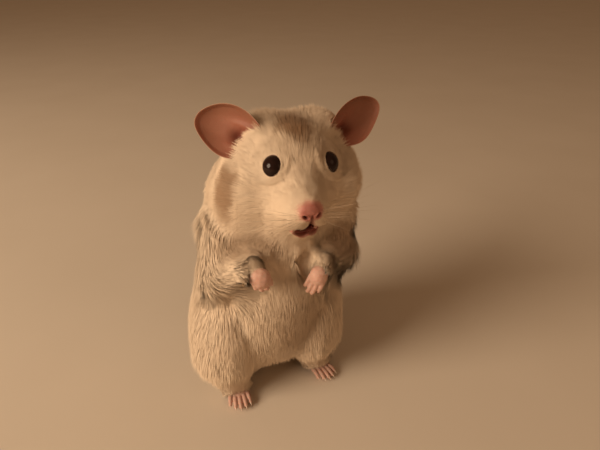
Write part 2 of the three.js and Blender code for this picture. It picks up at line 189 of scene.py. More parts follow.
soft_lamp(
    "key", aside=-0.62, ahead=-0.40, height=0.38, size=0.48, power=6.7, colour=(1.0, 0.78, 0.56)
)
soft_lamp(
    "fill", aside=0.50, ahead=-0.30, height=0.30, size=0.40, power=0.25, colour=(1.0, 0.62, 0.36)
)
scene.view_settings.view_transform = "Standard"

world = bpy.data.worlds.new("surround")
world.use_nodes = True
glow = world.node_tree.nodes["Background"]
glow.inputs["Color"].default_value = (*SURROUND, 1)
glow.inputs["Strength"].default_value = SURROUND_STRENGTH
scene.world = world
log("two lamps and a dim surround")

# %% [markdown]
# ## A small language for materials
#
# A material is a graph of nodes. Written by hand it is long, so one class wraps a socket and
# lets its values be added, multiplied and so on: each operator adds a Math node. Colours and
# vectors have nodes of their own, which come from one method, `add`.


# %% Sockets as expressions
class Wire:
    """One output of a node, for use in sums."""

    def __init__(self, paint, socket):
        self.paint = paint
        self.socket = socket

    def sum_node(self, operation, first, second):
        return self.paint.add("ShaderNodeMath", {"operation": operation}, {0: first, 1: second})

    def __add__(self, other):
        return self.sum_node("ADD", self, other)

    __radd__ = __add__

    def __sub__(self, other):
        return self.sum_node("SUBTRACT", self, other)

    def __rsub__(self, other):
        return self.sum_node("SUBTRACT", other, self)

    def __mul__(self, other):
        return self.sum_node("MULTIPLY", self, other)

    __rmul__ = __mul__

    def most(self, other):
        return self.sum_node("MAXIMUM", self, other)


class Paint:
    """A material and the nodes that make it."""

    def __init__(self, name):
        self.material = bpy.data.materials.new(name)
        self.material.use_nodes = True
        self.tree = self.material.node_tree
        self.tree.nodes.clear()

    def add(self, kind, settings=None, values=None, output=0):
        """A node of a kind, with its settings made first and then its sockets' values or links."""
        node = self.tree.nodes.new(kind)
        for name, setting in (settings or {}).items():
            setattr(node, name, setting)
        for key, value in (values or {}).items():
            if isinstance(value, Wire):
                self.tree.links.new(value.socket, node.inputs[key])
            else:
                node.inputs[key].default_value = value
        return Wire(self, node.outputs[output]) if node.outputs else None

    def mix(self, factor, first, second):
        """From the first colour at a factor of 0 to the second at 1."""
        colours = [c if isinstance(c, Wire) else (*c, 1) for c in (first, second)]
        return self.add(
            "ShaderNodeMix", {"data_type": "RGBA"}, {0: factor, 6: colours[0], 7: colours[1]}, 2
        )

    def place(self):
        return self.add("ShaderNodeTexCoord", {}, {}, "Object")

    def vector(self, operation, *values, output=0, **named):
        """Vector maths on vectors or links, given in the order of the node's sockets."""
        sockets = {**dict(enumerate(values)), **named}
        return self.add("ShaderNodeVectorMath", {"operation": operation}, sockets, output)

    def speckle(self, size, detail):
        """Noise from 0 to 1 whose lumps are about `size` across."""
        values = {"Vector": self.place(), "Scale": 1 / size, "Detail": detail}
        return self.add("ShaderNodeTexNoise", {}, values, "Fac")

    def told(self, name):
        """A number that the mesh carries at each vertex."""
        return self.add("ShaderNodeAttribute", {"attribute_name": name}, {}, "Fac")

    def step(self, value, start, end):
        """0 before start, 1 after end, smooth in between."""
        settings = {"interpolation_type": "SMOOTHSTEP"}
        return self.add("ShaderNodeMapRange", settings, {0: value, 1: start, 2: end})

    def relief(self, height, depth, strength):
        """A Bump node: `height` from 0 to 1 stands for `depth` metres."""
        values = {"Strength": strength, "Distance": depth, "Height": height}
        return self.add("ShaderNodeBump", {}, values, "Normal")

    def finish(self, **sockets):
        """The shader and the output; a socket's name is written with _ for a space."""
        values = {name.replace("_", " "): value for name, value in sockets.items()}
        for name in ("Base Color", "Sheen Tint"):
            if name in values and not isinstance(values[name], Wire):
                values[name] = (*values[name], 1)
        surface = self.add("ShaderNodeBsdfPrincipled", {}, values)
        self.add("ShaderNodeOutputMaterial", {}, {"Surface": surface})
        return self.material


# %% [markdown]
# ## The floor
#
# A plain pale sheet, wide enough to fill every view. Its colour drifts very slightly, as paper
# does, so that it doesn't look like a flat fill.


# %% Floor
FLOOR_REACH = 3.0
FLOOR_TONES = (0.70, 0.61, 0.50), (0.76, 0.67, 0.56)


def make_floor():
    paint = Paint("pale_floor")
    colour = paint.mix(paint.speckle(0.06, 3), *FLOOR_TONES)
    mesh = bpy.data.meshes.new("floor")
    square = ((-1, -1), (1, -1), (1, 1), (-1, 1))
    corners = [(x * FLOOR_REACH, y * FLOOR_REACH, 0) for x, y in square]
    mesh.from_pydata(corners, [], [(0, 1, 2, 3)])
    mesh.materials.append(paint.finish(Base_Color=colour, Roughness=0.85))
    floor = bpy.data.objects.new("floor", mesh)
    scene.collection.objects.link(floor)
    floor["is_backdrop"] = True
    log("the floor reaches", FLOOR_REACH, "m each way")


make_floor()

# %% [markdown]
# ## Fingers and toes
#
# A hamster has four fingers on each hand and five toes on each foot, all thin, pink and close
# together. The solids only block them in. Here each one is a string of overlapping balls
# along a bent line. The balls melt together later, when the whole skin is wrapped.

# %% The paws' places
FOOT = {
    "digits": 5, "fan": 3.4, "curl": 14, "back": (3.3, 1.7, 3.6), "long": 4.8, "thick": 0.80,
    "wrist": 2.4, "splay": 0.14,
}
PAWS = {  # places as shares of the part's box, directions, and sizes in millimetres
    "hand_right": {
        "root": (0.42, 0.95, 0.77), "palm": (0.54, 0.36, 0.66), "digits": 4, "fan": 2.45,
        "ahead": (0.22, -0.25, -0.95), "across": (0.95, -0.30, 0.05), "curl": 72,
        "back": (3.2, 2.5, 3.1), "long": 4.6, "thick": 0.82, "wrist": 2.5, "sleeve": 1.2,
    },
    "hand_left": {
        "root": (0.92, 0.96, 0.79), "palm": (0.52, 0.36, 0.62), "digits": 4, "fan": 2.35,
        "ahead": (-0.52, -0.12, -0.86), "across": (0.84, -0.46, -0.27), "curl": 34,
        "back": (2.8, 2.1, 3.1), "long": 5.0, "thick": 0.80, "wrist": 2.4, "sleeve": 1.2,
    },
    "foot_right": {
        "root": (0.67, 0.87, 0.47), "palm": (0.48, 0.33, 0.34),
        "ahead": (-0.12, -1, -0.02), "across": (-1, 0, 0), **FOOT,
    },
    "foot_left": {
        "root": (0.32, 0.87, 0.48), "palm": (0.497, 0.34, 0.35),
        "ahead": (0.2, -1, -0.02), "across": (1, 0, 0), **FOOT,
    },
}
SHOULDERS = {  # for each hand, its arm and the joint's place as shares of the arm's box
    "hand_right": ("arm_right", (0.555, 0.77, 0.78)),
    "hand_left": ("arm_left", (0.58, 0.77, 0.78)),
}
ELBOWS = {
    "hand_right": ("arm_right", (0.39, 0.51, 0.365)),
    "hand_left": ("arm_left", (0.625, 0.52, 0.37)),
}
PAW_NODES = list(PAWS)
PHALANGES = ((0.36, 0.25), (0.34, 0.75), (0.30, 0.9))  # share of a digit's length and of its curl
DIGIT_RISE = 12  # degrees by which a digit first rises from the palm
LEAST_SPLAY = 0.05


def unit(v):
    v = np.asarray(v, float)
    return v / np.maximum(np.linalg.norm(v, axis=-1, keepdims=True), 1e-12)


def paw_axes(p):
    """Across the paw, out of its back, and ahead along it."""
    ahead = unit(p["ahead"])
    across = unit(np.array(p["across"]) - np.dot(p["across"], ahead) * ahead)
    outer = np.cross(across, ahead)
    flat = abs(ahead[2]) < 0.5
    toward = outer[2] if flat else -outer[1]
    return across, outer * np.sign(toward), ahead


def digit_lines(paw, p):
    """For each finger or toe: its root, its knuckles and its tip, in metres."""
    palm = inside_box(paw, p["palm"])
    across, outer, ahead = paw_axes(p)
    lines = []
    for n in range(p["digits"]):
        t = 2 * n / (p["digits"] - 1) - 1
        long = p["long"] * (1 - 0.2 * t * t)
        line = [across * t * p["fan"] * 0.8 + ahead * (p["back"][2] * 0.55 - 0.7 * t * t)]
        splay = across * t * p.get("splay", LEAST_SPLAY)
        heading = DIGIT_RISE
        for share, bend in PHALANGES:
            heading -= bend * p["curl"]
            turn = math.radians(heading)
            way = ahead * math.cos(turn) + outer * math.sin(turn) + splay
            line.append(line[-1] + unit(way) * long * share)
        lines.append([palm + point * MM for point in line])
    return lines


def unit_ball():
    """The corners and triangles of a ball of radius 1."""
    bm = bmesh.new()
    bmesh.ops.create_icosphere(bm, subdivisions=2, radius=1)
    points = np.array([v.co for v in bm.verts])
    faces = np.array([[v.index for v in f.verts] for f in bm.faces])
    bm.free()
    return points, faces


class Clay:
    """Balls pressed together: a list of points and triangles that becomes one mesh."""

    def __init__(self):
        self.ball, self.ball_faces = unit_ball()
        self.points, self.faces, self.count = [], [], 0

    def press(self, points, faces):
        self.points.append(points)
        self.faces.append(np.asarray(faces) + self.count)
        self.count += len(points)

    def add_ball(self, centre, radii):
        self.press(self.ball * np.array(radii) + centre, self.ball_faces)

    def add_string(self, line, radii):
        """Balls along a bent line, close enough together to melt into a tube."""
        for a, b, ra, rb in zip(line, line[1:], radii, radii[1:]):
            count = max(2, math.ceil(np.linalg.norm(b - a) / (0.35 * min(ra, rb))))
            for s in np.linspace(0, 1, count):
                self.add_ball(a + (b - a) * s, [ra + (rb - ra) * s] * 3)

    def add_paw(self, paw, p):
        """A wrist, the back of the paw, and its fingers or toes with a pad under each tip."""
        palm, root = inside_box(paw, p["palm"]), inside_box(paw, p["root"])
        axes, thick, wrist = np.array(paw_axes(p)), p["thick"] * MM, p["wrist"] * MM
        back = root - palm
        if paw in ELBOWS:
            back = inside_box(*ELBOWS[paw]) - root
        hidden = root + unit(back) * 3.5 * MM
        sleeve = wrist * p.get("sleeve", 1.0)
        self.add_string([hidden, root, palm], [wrist * 0.8, sleeve, wrist * 0.97])
        radii = np.array(p["back"]) * MM
        self.press((self.ball * radii) @ axes + palm, self.ball_faces)
        for line in digit_lines(paw, p):
            self.add_string(line, [thick * r for r in (1.1, 0.98, 0.9, 0.72)])
            pad = line[-1] - axes[1] * thick * 0.15
            self.add_ball(pad, [thick * 0.86] * 3)

    def mesh(self, name):
        points, faces = np.concatenate(self.points), np.concatenate(self.faces)
        made = bpy.data.meshes.new(name)
        made.from_pydata(points.tolist(), [], faces.tolist())
        return made


log("a hand and a foot have", PAWS["hand_right"]["digits"], "and", FOOT["digits"], "digits")


# %% [markdown]
# ## One skin
#
# In life one skin covers everything, but the solids are parted by thin cuts. They are grown a
# little so that cuts and narrow hollows close, and wrapped in one fresh surface by a voxel
# remesh; what they grew by is taken off again afterwards. Smoothing takes off the facets. The
# eyes go into the wrap too, so that no pit is left: their lids are shaped later. The ears are
# too thin to wrap and the paws too fine, so both are made apart.

# %% Wrap the solids
FLESH = [
    "head", "neck", "trunk", "arm_right", "arm_left", "leg_right", "leg_left", "tail", "nose",
    "hand_right", "hand_left", "foot_right", "foot_left", "ear_right", "ear_left",
]
VOXEL = 0.36 * MM
GROWN = {  # by how many millimetres each solid grows before the wrap
    "trunk": 1.2, "neck": 1.2, "arm_right": 1.2, "arm_left": 1.2, "leg_right": 0.8, "leg_left": 0.8,
}
LEAST_GROWN = 0.25
FILLERS = [  # loose fur that bridges hollows between the solids: middle and half-sizes, in mm
    ((20.6, -9.6, 61.0), (5.6, 6.0, 9.0)),
    ((3.6, -12.0, 47.0), (7.0, 6.0, 9.0)),
    (tuple(on_head(5.6, 3.0, -16.6) / MM), (5.0, 5.6, 3.4)),  # upper lip on the left
    (tuple(on_head(3.8, 2.6, -19.2) / MM), (5.4, 4.8, 2.4)),  # lower jaw
    ((-13.5, -14.5, 53.0), (5.0, 6.0, 4.5)),
]


def new_object(name, mesh):
    thing = bpy.data.objects.new(name, mesh)
    scene.collection.objects.link(thing)
    return thing


def applied(thing):
    """Makes a thing's modifiers part of its mesh."""
    graph = bpy.context.evaluated_depsgraph_get()
    mesh = bpy.data.meshes.new_from_object(thing.evaluated_get(graph))
    thing.modifiers.clear()
    thing.data = mesh
    return thing


def places(mesh):
    co = np.empty(len(mesh.vertices) * 3, np.float32)
    mesh.vertices.foreach_get("co", co)
    return co.reshape(-1, 3).astype(float)


def put_places(mesh, points):
    mesh.vertices.foreach_set("co", points.astype(np.float32).ravel())
    mesh.update()


def vertex_normals(mesh):
    out = np.empty(len(mesh.vertices) * 3, np.float32)
    mesh.vertex_normals.foreach_get("vector", out)
    return out.reshape(-1, 3).astype(float)


def edge_pairs(mesh):
    pairs = np.empty(len(mesh.edges) * 2, np.int32)
    mesh.edges.foreach_get("vertices", pairs)
    return pairs.reshape(-1, 2)


def carry(mesh, name, values):
    """Gives each vertex of a mesh a number of its own."""
    layer = mesh.attributes.get(name) or mesh.attributes.new(name, "FLOAT", "POINT")
    layer.data.foreach_set("value", np.asarray(values, np.float32))


def carried(mesh, name):
    values = np.empty(len(mesh.vertices), np.float32)
    mesh.attributes[name].data.foreach_get("value", values)
    return values.astype(float)


def averaged(values, pairs, rounds):
    """Each vertex's values drawn towards the mean of its neighbours, several times over."""
    values = values.astype(float).copy()
    flat = values if values.ndim == 2 else values[:, None]
    count = len(flat)
    ends = np.concatenate([pairs[:, 0], pairs[:, 1]])
    others = np.concatenate([pairs[:, 1], pairs[:, 0]])
    share = np.maximum(np.bincount(ends, minlength=count), 1)
    for _ in range(rounds):
        for c in range(flat.shape[1]):
            mean = np.bincount(ends, weights=flat[others, c], minlength=count) / share
            flat[:, c] = 0.5 * flat[:, c] + 0.5 * mean
    return flat if values.ndim == 2 else flat[:, 0]


def grown_solids(clay):
    """The flesh without ears and paws, grown a little so that the thin cuts close."""
    for node in FLESH + ["eye_right", "eye_left"]:
        if node.startswith("ear") or node in PAW_NODES:
            continue
        bm = bmesh.new()
        bm.from_mesh(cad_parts[node].data)
        bmesh.ops.remove_doubles(bm, verts=bm.verts, dist=0.001 * MM)
        bm.normal_update()
        grow = GROWN.get(node, LEAST_GROWN) * MM
        points = np.array([v.co + v.normal * grow for v in bm.verts])
        bmesh.ops.triangulate(bm, faces=bm.faces)
        clay.press(points, [[v.index for v in f.verts] for f in bm.faces])
        bm.free()


def forearm_webs(clay):
    """Loose skin and fur that join each forearm to the chest behind it."""
    for hand, elbow in ELBOWS.items():
        a, b = inside_box(*elbow), inside_box(hand, PAWS[hand]["root"])
        clay.add_string([a, b], [5.0 * MM, 3.7 * MM])
        for t in np.linspace(0.3, 0.95, 9):
            spot = a + (b - a) * t + np.array([0, 2.6, 0]) * MM
            clay.add_ball(spot, [r * MM for r in (5.0 - t, 4.2, 5.2 - t)])


def wrapped(clay, name, voxel):
    """One closed surface round everything in the clay."""
    thing = new_object(name, clay.mesh(name))
    wrap = thing.modifiers.new("wrap", "REMESH")
    wrap.mode = "VOXEL"
    wrap.voxel_size = voxel
    return applied(thing)


def wrap_solids():
    clay = Clay()
    grown_solids(clay)
    for centre, radii in FILLERS:
        clay.add_ball(np.array(centre) * MM, [r * MM for r in radii])
    forearm_webs(clay)
    return wrapped(clay, "skin", VOXEL)


skin = wrap_solids()
log("the wrapped skin has", len(skin.data.vertices), "vertices")


# %% [markdown]
# ## How near a bare part is
#
# Much depends on how far a place is from the bare parts: the coat is short round the nose,
# eyes, ears and paws, and long on the body. A search tree over the parts asked for answers it.


# %% Distances to the parts
def tree_of(nodes):
    points, faces = [], []
    for node in nodes:
        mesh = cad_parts[node].data
        start = len(points)
        points += [v.co.copy() for v in mesh.vertices]
        faces += [[start + i for i in f.vertices] for f in mesh.polygons]
    return BVHTree.FromPolygons(points, faces)


def distances(points, nodes):
    tree = tree_of(nodes)
    return np.array([tree.find_nearest(Vector(p))[3] for p in points])


def smooth_step(value, start, end):
    """0 before start, 1 after end, smooth in between; start may be the larger of the two."""
    t = np.clip((value - start) / (end - start), 0, 1)
    return t * t * (3 - 2 * t)


def hill(a, b=0, power=2):
    """1 where both values are 0, falling smoothly away from there."""
    return np.exp(-(a**power) - b**power)


FACE_CENTRE = on_head(0, 10, -8)


def fine_parts(points):
    """1 where the skin needs its finest mesh: the tail, muzzle and eyes. 0 on the body."""
    low, high = (np.array(c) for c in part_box("tail"))
    out = np.maximum(np.maximum(low - points, points - high), 0)
    near = 1 - smooth_step(np.linalg.norm(out, axis=1), 1 * MM, 3 * MM)
    muzzle = np.linalg.norm(points - FACE_CENTRE, axis=1)
    near = np.maximum(near, 1 - smooth_step(muzzle, 12 * MM, 16 * MM))
    for side in SIDES:
        eye = np.linalg.norm(points - middle(f"eye_{side}"), axis=1)
        near = np.maximum(near, 1 - smooth_step(eye, 5 * MM, 7 * MM))
    return near


WEIGHT_STEPS = 20


def weigh(thing, name, weights):
    """A vertex group from an array of weights, rounded to a few steps."""
    group = thing.vertex_groups.new(name=name)
    for step in range(WEIGHT_STEPS + 1):
        chosen = np.nonzero(np.round(weights * WEIGHT_STEPS) == step)[0]
        if len(chosen):
            group.add(chosen.tolist(), step / WEIGHT_STEPS, "REPLACE")


# %% Smooth the body
EASE_ROUNDS = {"broad": 36, "upper": 40, "chest": 90, "": 4}  # for each group of points, or all
BODY_KEPT = 0.30  # share of the body's triangles that is kept


def relax(thing):
    """Smooths the skin, most on the chest and least on the fine parts, and thins its mesh."""
    points = places(thing.data)
    fine = fine_parts(points)
    low_body = 1 - smooth_step(points[:, 2], 34 * MM, 46 * MM)
    weigh(thing, "broad", 1 - fine)
    weigh(thing, "upper", (1 - fine) * (1 - low_body))
    chest = (1 - low_body) * (1 - smooth_step(points[:, 2], 58 * MM, 66 * MM))
    weigh(thing, "chest", (1 - fine) * chest)
    for group, rounds in EASE_ROUNDS.items():
        ease = thing.modifiers.new("ease", "SMOOTH")
        ease.factor = 0.5
        ease.iterations = rounds
        ease.vertex_group = group
    thin = thing.modifiers.new("thin_out", "DECIMATE")
    thin.vertex_group = "broad"
    thin.vertex_group_factor = 1.0
    thin.ratio = BODY_KEPT
    return applied(thing)


relax(skin)
log("the skin, eased and thinned, has", len(skin.data.polygons), "triangles")

# %% [markdown]
# ## Room for the coat
#
# The solids go out to the tips of the hair, so the skin lies inside them by the depth of the
# coat: over two millimetres on the body, less on the face and next to nothing on bare parts.

# %% Pull the skin in
BODY_COAT = 2.3 * MM  # depth of the coat on the body
FACE_COAT = 1.5 * MM
EYE_BARE, EYE_FULL = 3.6 * MM, 9 * MM  # where the coat starts and where it is full
ARCH = (middle("foot_right") + middle("foot_left")) / 2  # under the belly, between the feet
ARCH_HALF = 8 * MM
ARCH_LIFT = 3.4 * MM


def coat_depth(points):
    """The coat's depth at each point of the body's outer surface."""
    bare = distances(points, PAW_NODES + ["tail", "nose"])
    ear = distances(points, ["ear_right", "ear_left"])
    cuff = 1 - smooth_step(distances(points, ["hand_right", "hand_left"]), 6 * MM, 14 * MM)
    least = (0.3 + 0.9 * cuff) * MM
    body = least + (BODY_COAT - least) * smooth_step(bare, 0, 5 * MM)
    body = np.minimum(body, 1.25 * MM + 0.15 * bare)
    face = 0.15 * MM + FACE_COAT * smooth_step(bare, 0, 10 * MM)
    back_of_head = smooth_step(-to_head(points)[:, 1], -4, 12)
    on_the_head = smooth_step(distances(points, ["head"]), 4 * MM, 1 * MM)
    face = face + (0.9 * BODY_COAT - face) * back_of_head * smooth_step(bare, 0, 15 * MM)
    depth = body + (face - body) * on_the_head
    depth = np.minimum(depth, 0.6 * MM + 0.30 * ear)
    for side in SIDES:
        eye = np.linalg.norm(points - middle(f"eye_{side}"), axis=1)
        depth = np.minimum(depth, 0.15 * MM + 2.5 * MM * smooth_step(eye, EYE_BARE, EYE_FULL))
    return depth


def creases(points):
    """How far the skin dips on the crown and where each thigh meets the belly."""
    s, f, u = to_head(points).T
    dip = 1.2 * MM * hill(s / 11, (f + 12) / 12, 4) * smooth_step(u, 5, 10)
    trunk = distances(points, ["trunk"])
    front = 1 - smooth_step(points[:, 1], -8 * MM, 2 * MM)
    for side in SIDES:
        leg = distances(points, [f"leg_{side}"])
        seam = hill((leg - trunk) / (1.7 * MM)) * hill((leg + trunk) / (6 * MM))
        dip = np.maximum(dip, 1.7 * MM * seam * front)
    return dip


def pull_in(thing):
    """Draws the skin in by the coat's depth, its creases and what the solids were grown by."""
    points = places(thing.data)
    pairs = edge_pairs(thing.data)
    depth = averaged(coat_depth(points), pairs, 12)
    dip = averaged(creases(points), pairs, 12)
    growth = np.minimum(distances(points, FLESH), max(GROWN.values()) * MM)
    dip = dip + averaged(growth, pairs, 6)
    outward = unit(averaged(vertex_normals(thing.data), pairs, 10))
    carry(thing.data, "depth", depth / MM)
    tail = distances(points, ["tail"])
    other = distances(points, [n for n in FLESH if n != "tail"])
    carry(thing.data, "paw", averaged((tail < other).astype(float), pairs, 3))
    points = points - outward * (depth + dip)[:, None]
    between = hill((points[:, 0] - ARCH[0]) / ARCH_HALF, power=4)
    between = between * smooth_step(points[:, 1], -2 * MM, -10 * MM)
    points[:, 2] += ARCH_LIFT * between * (1 - smooth_step(points[:, 2], 3 * MM, 15 * MM))
    put_places(thing.data, points)


pull_in(skin)
log("the skin is drawn in under the coat")

# %% [markdown]
# ## Hands and feet
#
# Each paw is wrapped on its own in a much finer mesh, so that the gaps between the fingers stay
# open, and is then joined to the skin. Its root end lies well inside the limb.


# %% Join the paws
PAW_VOXEL = 0.17 * MM
PAW_KEPT = 0.4  # share of a paw's triangles that is kept


def join(thing, other):
    """Joins another closed mesh to the skin, so that one closed surface is left."""
    union = thing.modifiers.new("join", "BOOLEAN")
    union.operation = "UNION"
    union.solver = "MANIFOLD"
    union.object = other
    before = len(thing.data.vertices)
    applied(thing)
    log(other.name, "joined:", before, "->", len(thing.data.vertices), "vertices")
    bpy.data.objects.remove(other)


def join_paws(thing):
    """Makes each paw, tells its points how bare they are, and joins it."""
    for paw, p in PAWS.items():
        clay = Clay()
        clay.add_paw(paw, p)
        made = wrapped(clay, paw + "_skin", PAW_VOXEL)
        ease = made.modifiers.new("ease", "SMOOTH")
        ease.iterations = 4
        thin = made.modifiers.new("thin", "DECIMATE")
        thin.ratio = PAW_KEPT
        applied(made)
        points = places(made.data)
        root, palm = inside_box(paw, p["root"]), inside_box(paw, p["palm"])
        t = (points - root) @ (palm - root) / np.dot(palm - root, palm - root)
        ahead = (points - palm) @ paw_axes(p)[2] / MM
        carry(made.data, "paw", smooth_step(np.maximum(t - 0.6, ahead / 3), -0.35, 0.35))
        carry(made.data, "depth", 0.15 + 0.75 * (1 - smooth_step(t, -0.3, 0.9)))
        join(thing, made)


def ease_wrists(thing):
    """Rounds off the edge where each paw meets its limb, and levels the coat's depth there."""
    points, pairs = places(thing.data), edge_pairs(thing.data)
    near = np.zeros(len(points))
    for paw, p in PAWS.items():
        away = np.linalg.norm(points - inside_box(paw, p["root"]), axis=1)
        near = np.maximum(near, 1 - smooth_step(away, 3.5 * MM, 6.5 * MM))
    near = near * (1 - smooth_step(carried(thing.data, "paw"), 0.0, 0.6))
    depth = carried(thing.data, "depth")
    carry(thing.data, "depth", depth + near * (averaged(depth, pairs, 30) - depth))
    put_places(thing.data, points + near[:, None] * (averaged(points, pairs, 30) - points))


join_paws(skin)
ease_wrists(skin)

# %% [markdown]
# ## The ears
#
# A hamster's ear is a thin, nearly bare leaf, cupped like a spoon. It is too thin to wrap, so
# it is drawn as a grid that runs from its middle to its rim, once for the front and once for
# the back, and then joined to the skin by a boolean union, which leaves one closed surface.

# %% Ear leaves
EARS = {  # by side: places and directions on the head's axes, sizes in millimetres
    -1: {
        "root": (-10.8, -7.8, 5.2), "along": (-0.85, -0.45, 0.28), "facing": (-0.36, 0.88, 0.32),
        "long": 18.2, "wide": 14.7, "skew": 0.10,
    },
    1: {
        "root": (12.3, -7.3, 5.1), "along": (0.845, -0.45, 0.29), "facing": (0.36, 0.88, 0.31),
        "long": 19.4, "wide": 12.6, "skew": 0.13,
    },
}
EAR_RINGS = 34
EAR_SPOKES = 88
EAR_TELLS = ("ear", "ear_out", "ear_up", "ear_in", "ear_top", "ear_well")


def ear_axes(sign):
    """Along the ear from root to tip, out of its hollow face, and across it."""
    head_axes = np.array([side_axis, front_axis, [0, 0, 1]])
    along = unit(np.array(EARS[sign]["along"]) @ head_axes)
    facing = np.array(EARS[sign]["facing"]) @ head_axes
    facing = unit(facing - np.dot(facing, along) * along)
    return along, facing, np.cross(along, facing)


def ear_cup(sign, x, tipward, out):
    """Height of the ear's middle surface in millimetres, before its thickness."""
    cup = -3.0 * (1 - out**2) + 1.6 * (1 - tipward) * x * x
    well = hill((x - 0.12 * sign) / 0.24, (tipward - 0.35) / 0.11)
    fold = hill((x * sign + 0.36) / 0.13, (tipward - 0.3) / 0.2)
    lobe = hill((x * sign - 0.5) / 0.16, (tipward - 0.36) / 0.14)
    ribs = 0.10 * np.sin(9 * x + 2 * tipward) * smooth_step(tipward, 0.3, 0.6) * (1 - out**4)
    rim = 0.7 * smooth_step(out, 0.84, 1.0) * smooth_step(tipward, 0.25, 0.6)
    return cup - 1.5 * well + 0.7 * fold + 0.45 * lobe + ribs + rim


def ear_width(sign, tipward):
    """Half the ear's width in metres, from its root at 0 to its tip at 1."""
    return EARS[sign]["wide"] * MM * (0.43 + 0.07 * np.sin(np.pi * np.minimum(1, 1.1 * tipward)))


def ear_leaf(sign, x, y, face):
    """Points of the leaf: x across and y along it, each within a unit circle."""
    along, facing, across = ear_axes(sign)
    out = np.minimum(np.hypot(x, y), 1)
    tipward = 0.5 + 0.5 * y
    lower = np.maximum(0, sign * x)
    length = EARS[sign]["long"] * MM * (1 - EARS[sign]["skew"] * lower**2) * tipward
    length = length - 2.6 * MM * (1 - tipward) ** 2
    half = 0.2 + (0.12 + 0.6 * (1 - tipward)) * np.sqrt(np.maximum(0, 1 - out**2))
    half = half * np.sqrt(np.maximum(0, 1 - out**14))
    lift = MM * (ear_cup(sign, x, tipward, out) + face * half)
    return (
        on_head(*EARS[sign]["root"])
        + length[:, None] * along
        + (ear_width(sign, tipward) * x)[:, None] * across
        + lift[:, None] * facing
    )


def clear_ears(thing):
    """Draws the head back behind each ear's hollow, so that nothing covers it."""
    points = places(thing.data)
    for sign in EARS:
        along, facing, across = ear_axes(sign)
        away = points - on_head(*EARS[sign]["root"])
        tipward = np.clip(away @ along / (EARS[sign]["long"] * MM), -0.5, 1.5)
        x = away @ across / ear_width(sign, np.clip(tipward, 0, 1))
        y = 2 * tipward - 1
        out = np.hypot(x, y)
        height = away @ facing / MM
        floor = ear_cup(sign, x, np.clip(tipward, 0, 1), np.minimum(out, 1)) - 0.9
        start = 0.05 + 0.16 * np.maximum(0, sign * x) ** 2
        inside = (1 - smooth_step(out, 0.93, 1.04)) * smooth_step(tipward, start, start + 0.09)
        inside = inside * (height > floor) * (height < 11)
        points = points + np.outer((floor - height) * inside * MM, facing)
    put_places(thing.data, points)


def add_ear(bm, sign):
    """The two faces of an ear's leaf, which share their rim; each point is told its place."""
    ring = np.sin(np.linspace(0, 1, EAR_RINGS + 1)[1:] * np.pi / 2)
    spoke = np.arange(EAR_SPOKES) * 2 * np.pi / EAR_SPOKES
    out = np.repeat(ring, EAR_SPOKES)
    angle = np.tile(spoke, EAR_RINGS)
    layers = []
    told = {name: bm.verts.layers.float.new(name) for name in EAR_TELLS}
    for face in (1, -1):
        x = np.append(out * np.sin(angle), 0)
        y = np.append(out * np.cos(angle), 0)
        layer = [bm.verts.new(p) for p in ear_leaf(sign, x, y, face)]
        top = smooth_step(-sign * x, -0.1, 0.7)
        well = hill((x - 0.12 * sign) / 0.26, (0.15 + 0.5 * y) / 0.11)
        for i, vert in enumerate(layer):
            vert[told["ear"]], vert[told["ear_in"]] = 1, float(face > 0)
            vert[told["ear_out"]], vert[told["ear_up"]] = math.hypot(x[i], y[i]), 0.5 + 0.5 * y[i]
            vert[told["ear_top"]] = top[i]
            vert[told["ear_well"]] = well[i] if face > 0 else 0
        layers.append(layer)
    front, back = layers
    for k in range(EAR_SPOKES):  # the two faces share the rim
        rim = (EAR_RINGS - 1) * EAR_SPOKES + k
        bm.verts.remove(back[rim])
        back[rim] = front[rim]
    for layer, turned in ((front, sign > 0), (back, sign < 0)):
        for r in range(EAR_RINGS):
            for k in range(EAR_SPOKES):
                k2 = (k + 1) % EAR_SPOKES
                if r == 0:
                    corners = [layer[-1], layer[k], layer[k2]]
                else:
                    a, b = (r - 1) * EAR_SPOKES, r * EAR_SPOKES
                    corners = [layer[a + k], layer[b + k], layer[b + k2], layer[a + k2]]
                bm.faces.new(corners[::-1] if turned else corners)


def join_ears(thing):
    clear_ears(thing)
    for side, sign in SIDES.items():
        bm = bmesh.new()
        add_ear(bm, sign)
        bmesh.ops.recalc_face_normals(bm, faces=bm.faces)
        mesh = bpy.data.meshes.new(f"ear_leaf_{side}")
        bm.to_mesh(mesh)
        bm.free()
        join(thing, new_object(f"ear_leaf_{side}", mesh))


join_ears(skin)

# %% [markdown]
# ## Lids, nostrils and mouth
#
# The face is shaped by moving points of the skin, once its mesh is fine enough there. Each eye
# gets a round lid whose edge lies on the eyeball. The nose gets two comma-shaped nostrils and
# a cleft down to the split upper lip, and the mouth stands a little open over a small lip.

# %% Finer mesh on the face
EYE_RADIUS = 3.4 * MM
EYE_SHIFT = {"right": (-0.2, 0.25, 0.1), "left": (0.75, 0.4, -0.2)}  # head's axes, millimetres
NOSE = np.array([0.8, 11.2, -9.2])  # middle of the pink pad, in the head's axes
MOUTH_UP = -15.7  # height of the upper lip's edge
MOUTH_HALF = 4.9  # half the mouth's width, in millimetres


def eye_centre(side):
    s, f, u = EYE_SHIFT[side]
    return middle(f"eye_{side}") + (on_head(s, f, u) - on_head(0, 0, 0))


def midline(up):
    """Where the middle of the nose and mouth lies at a height: the muzzle is a little askew."""
    return NOSE[0] + 0.15 * (NOSE[2] - up)


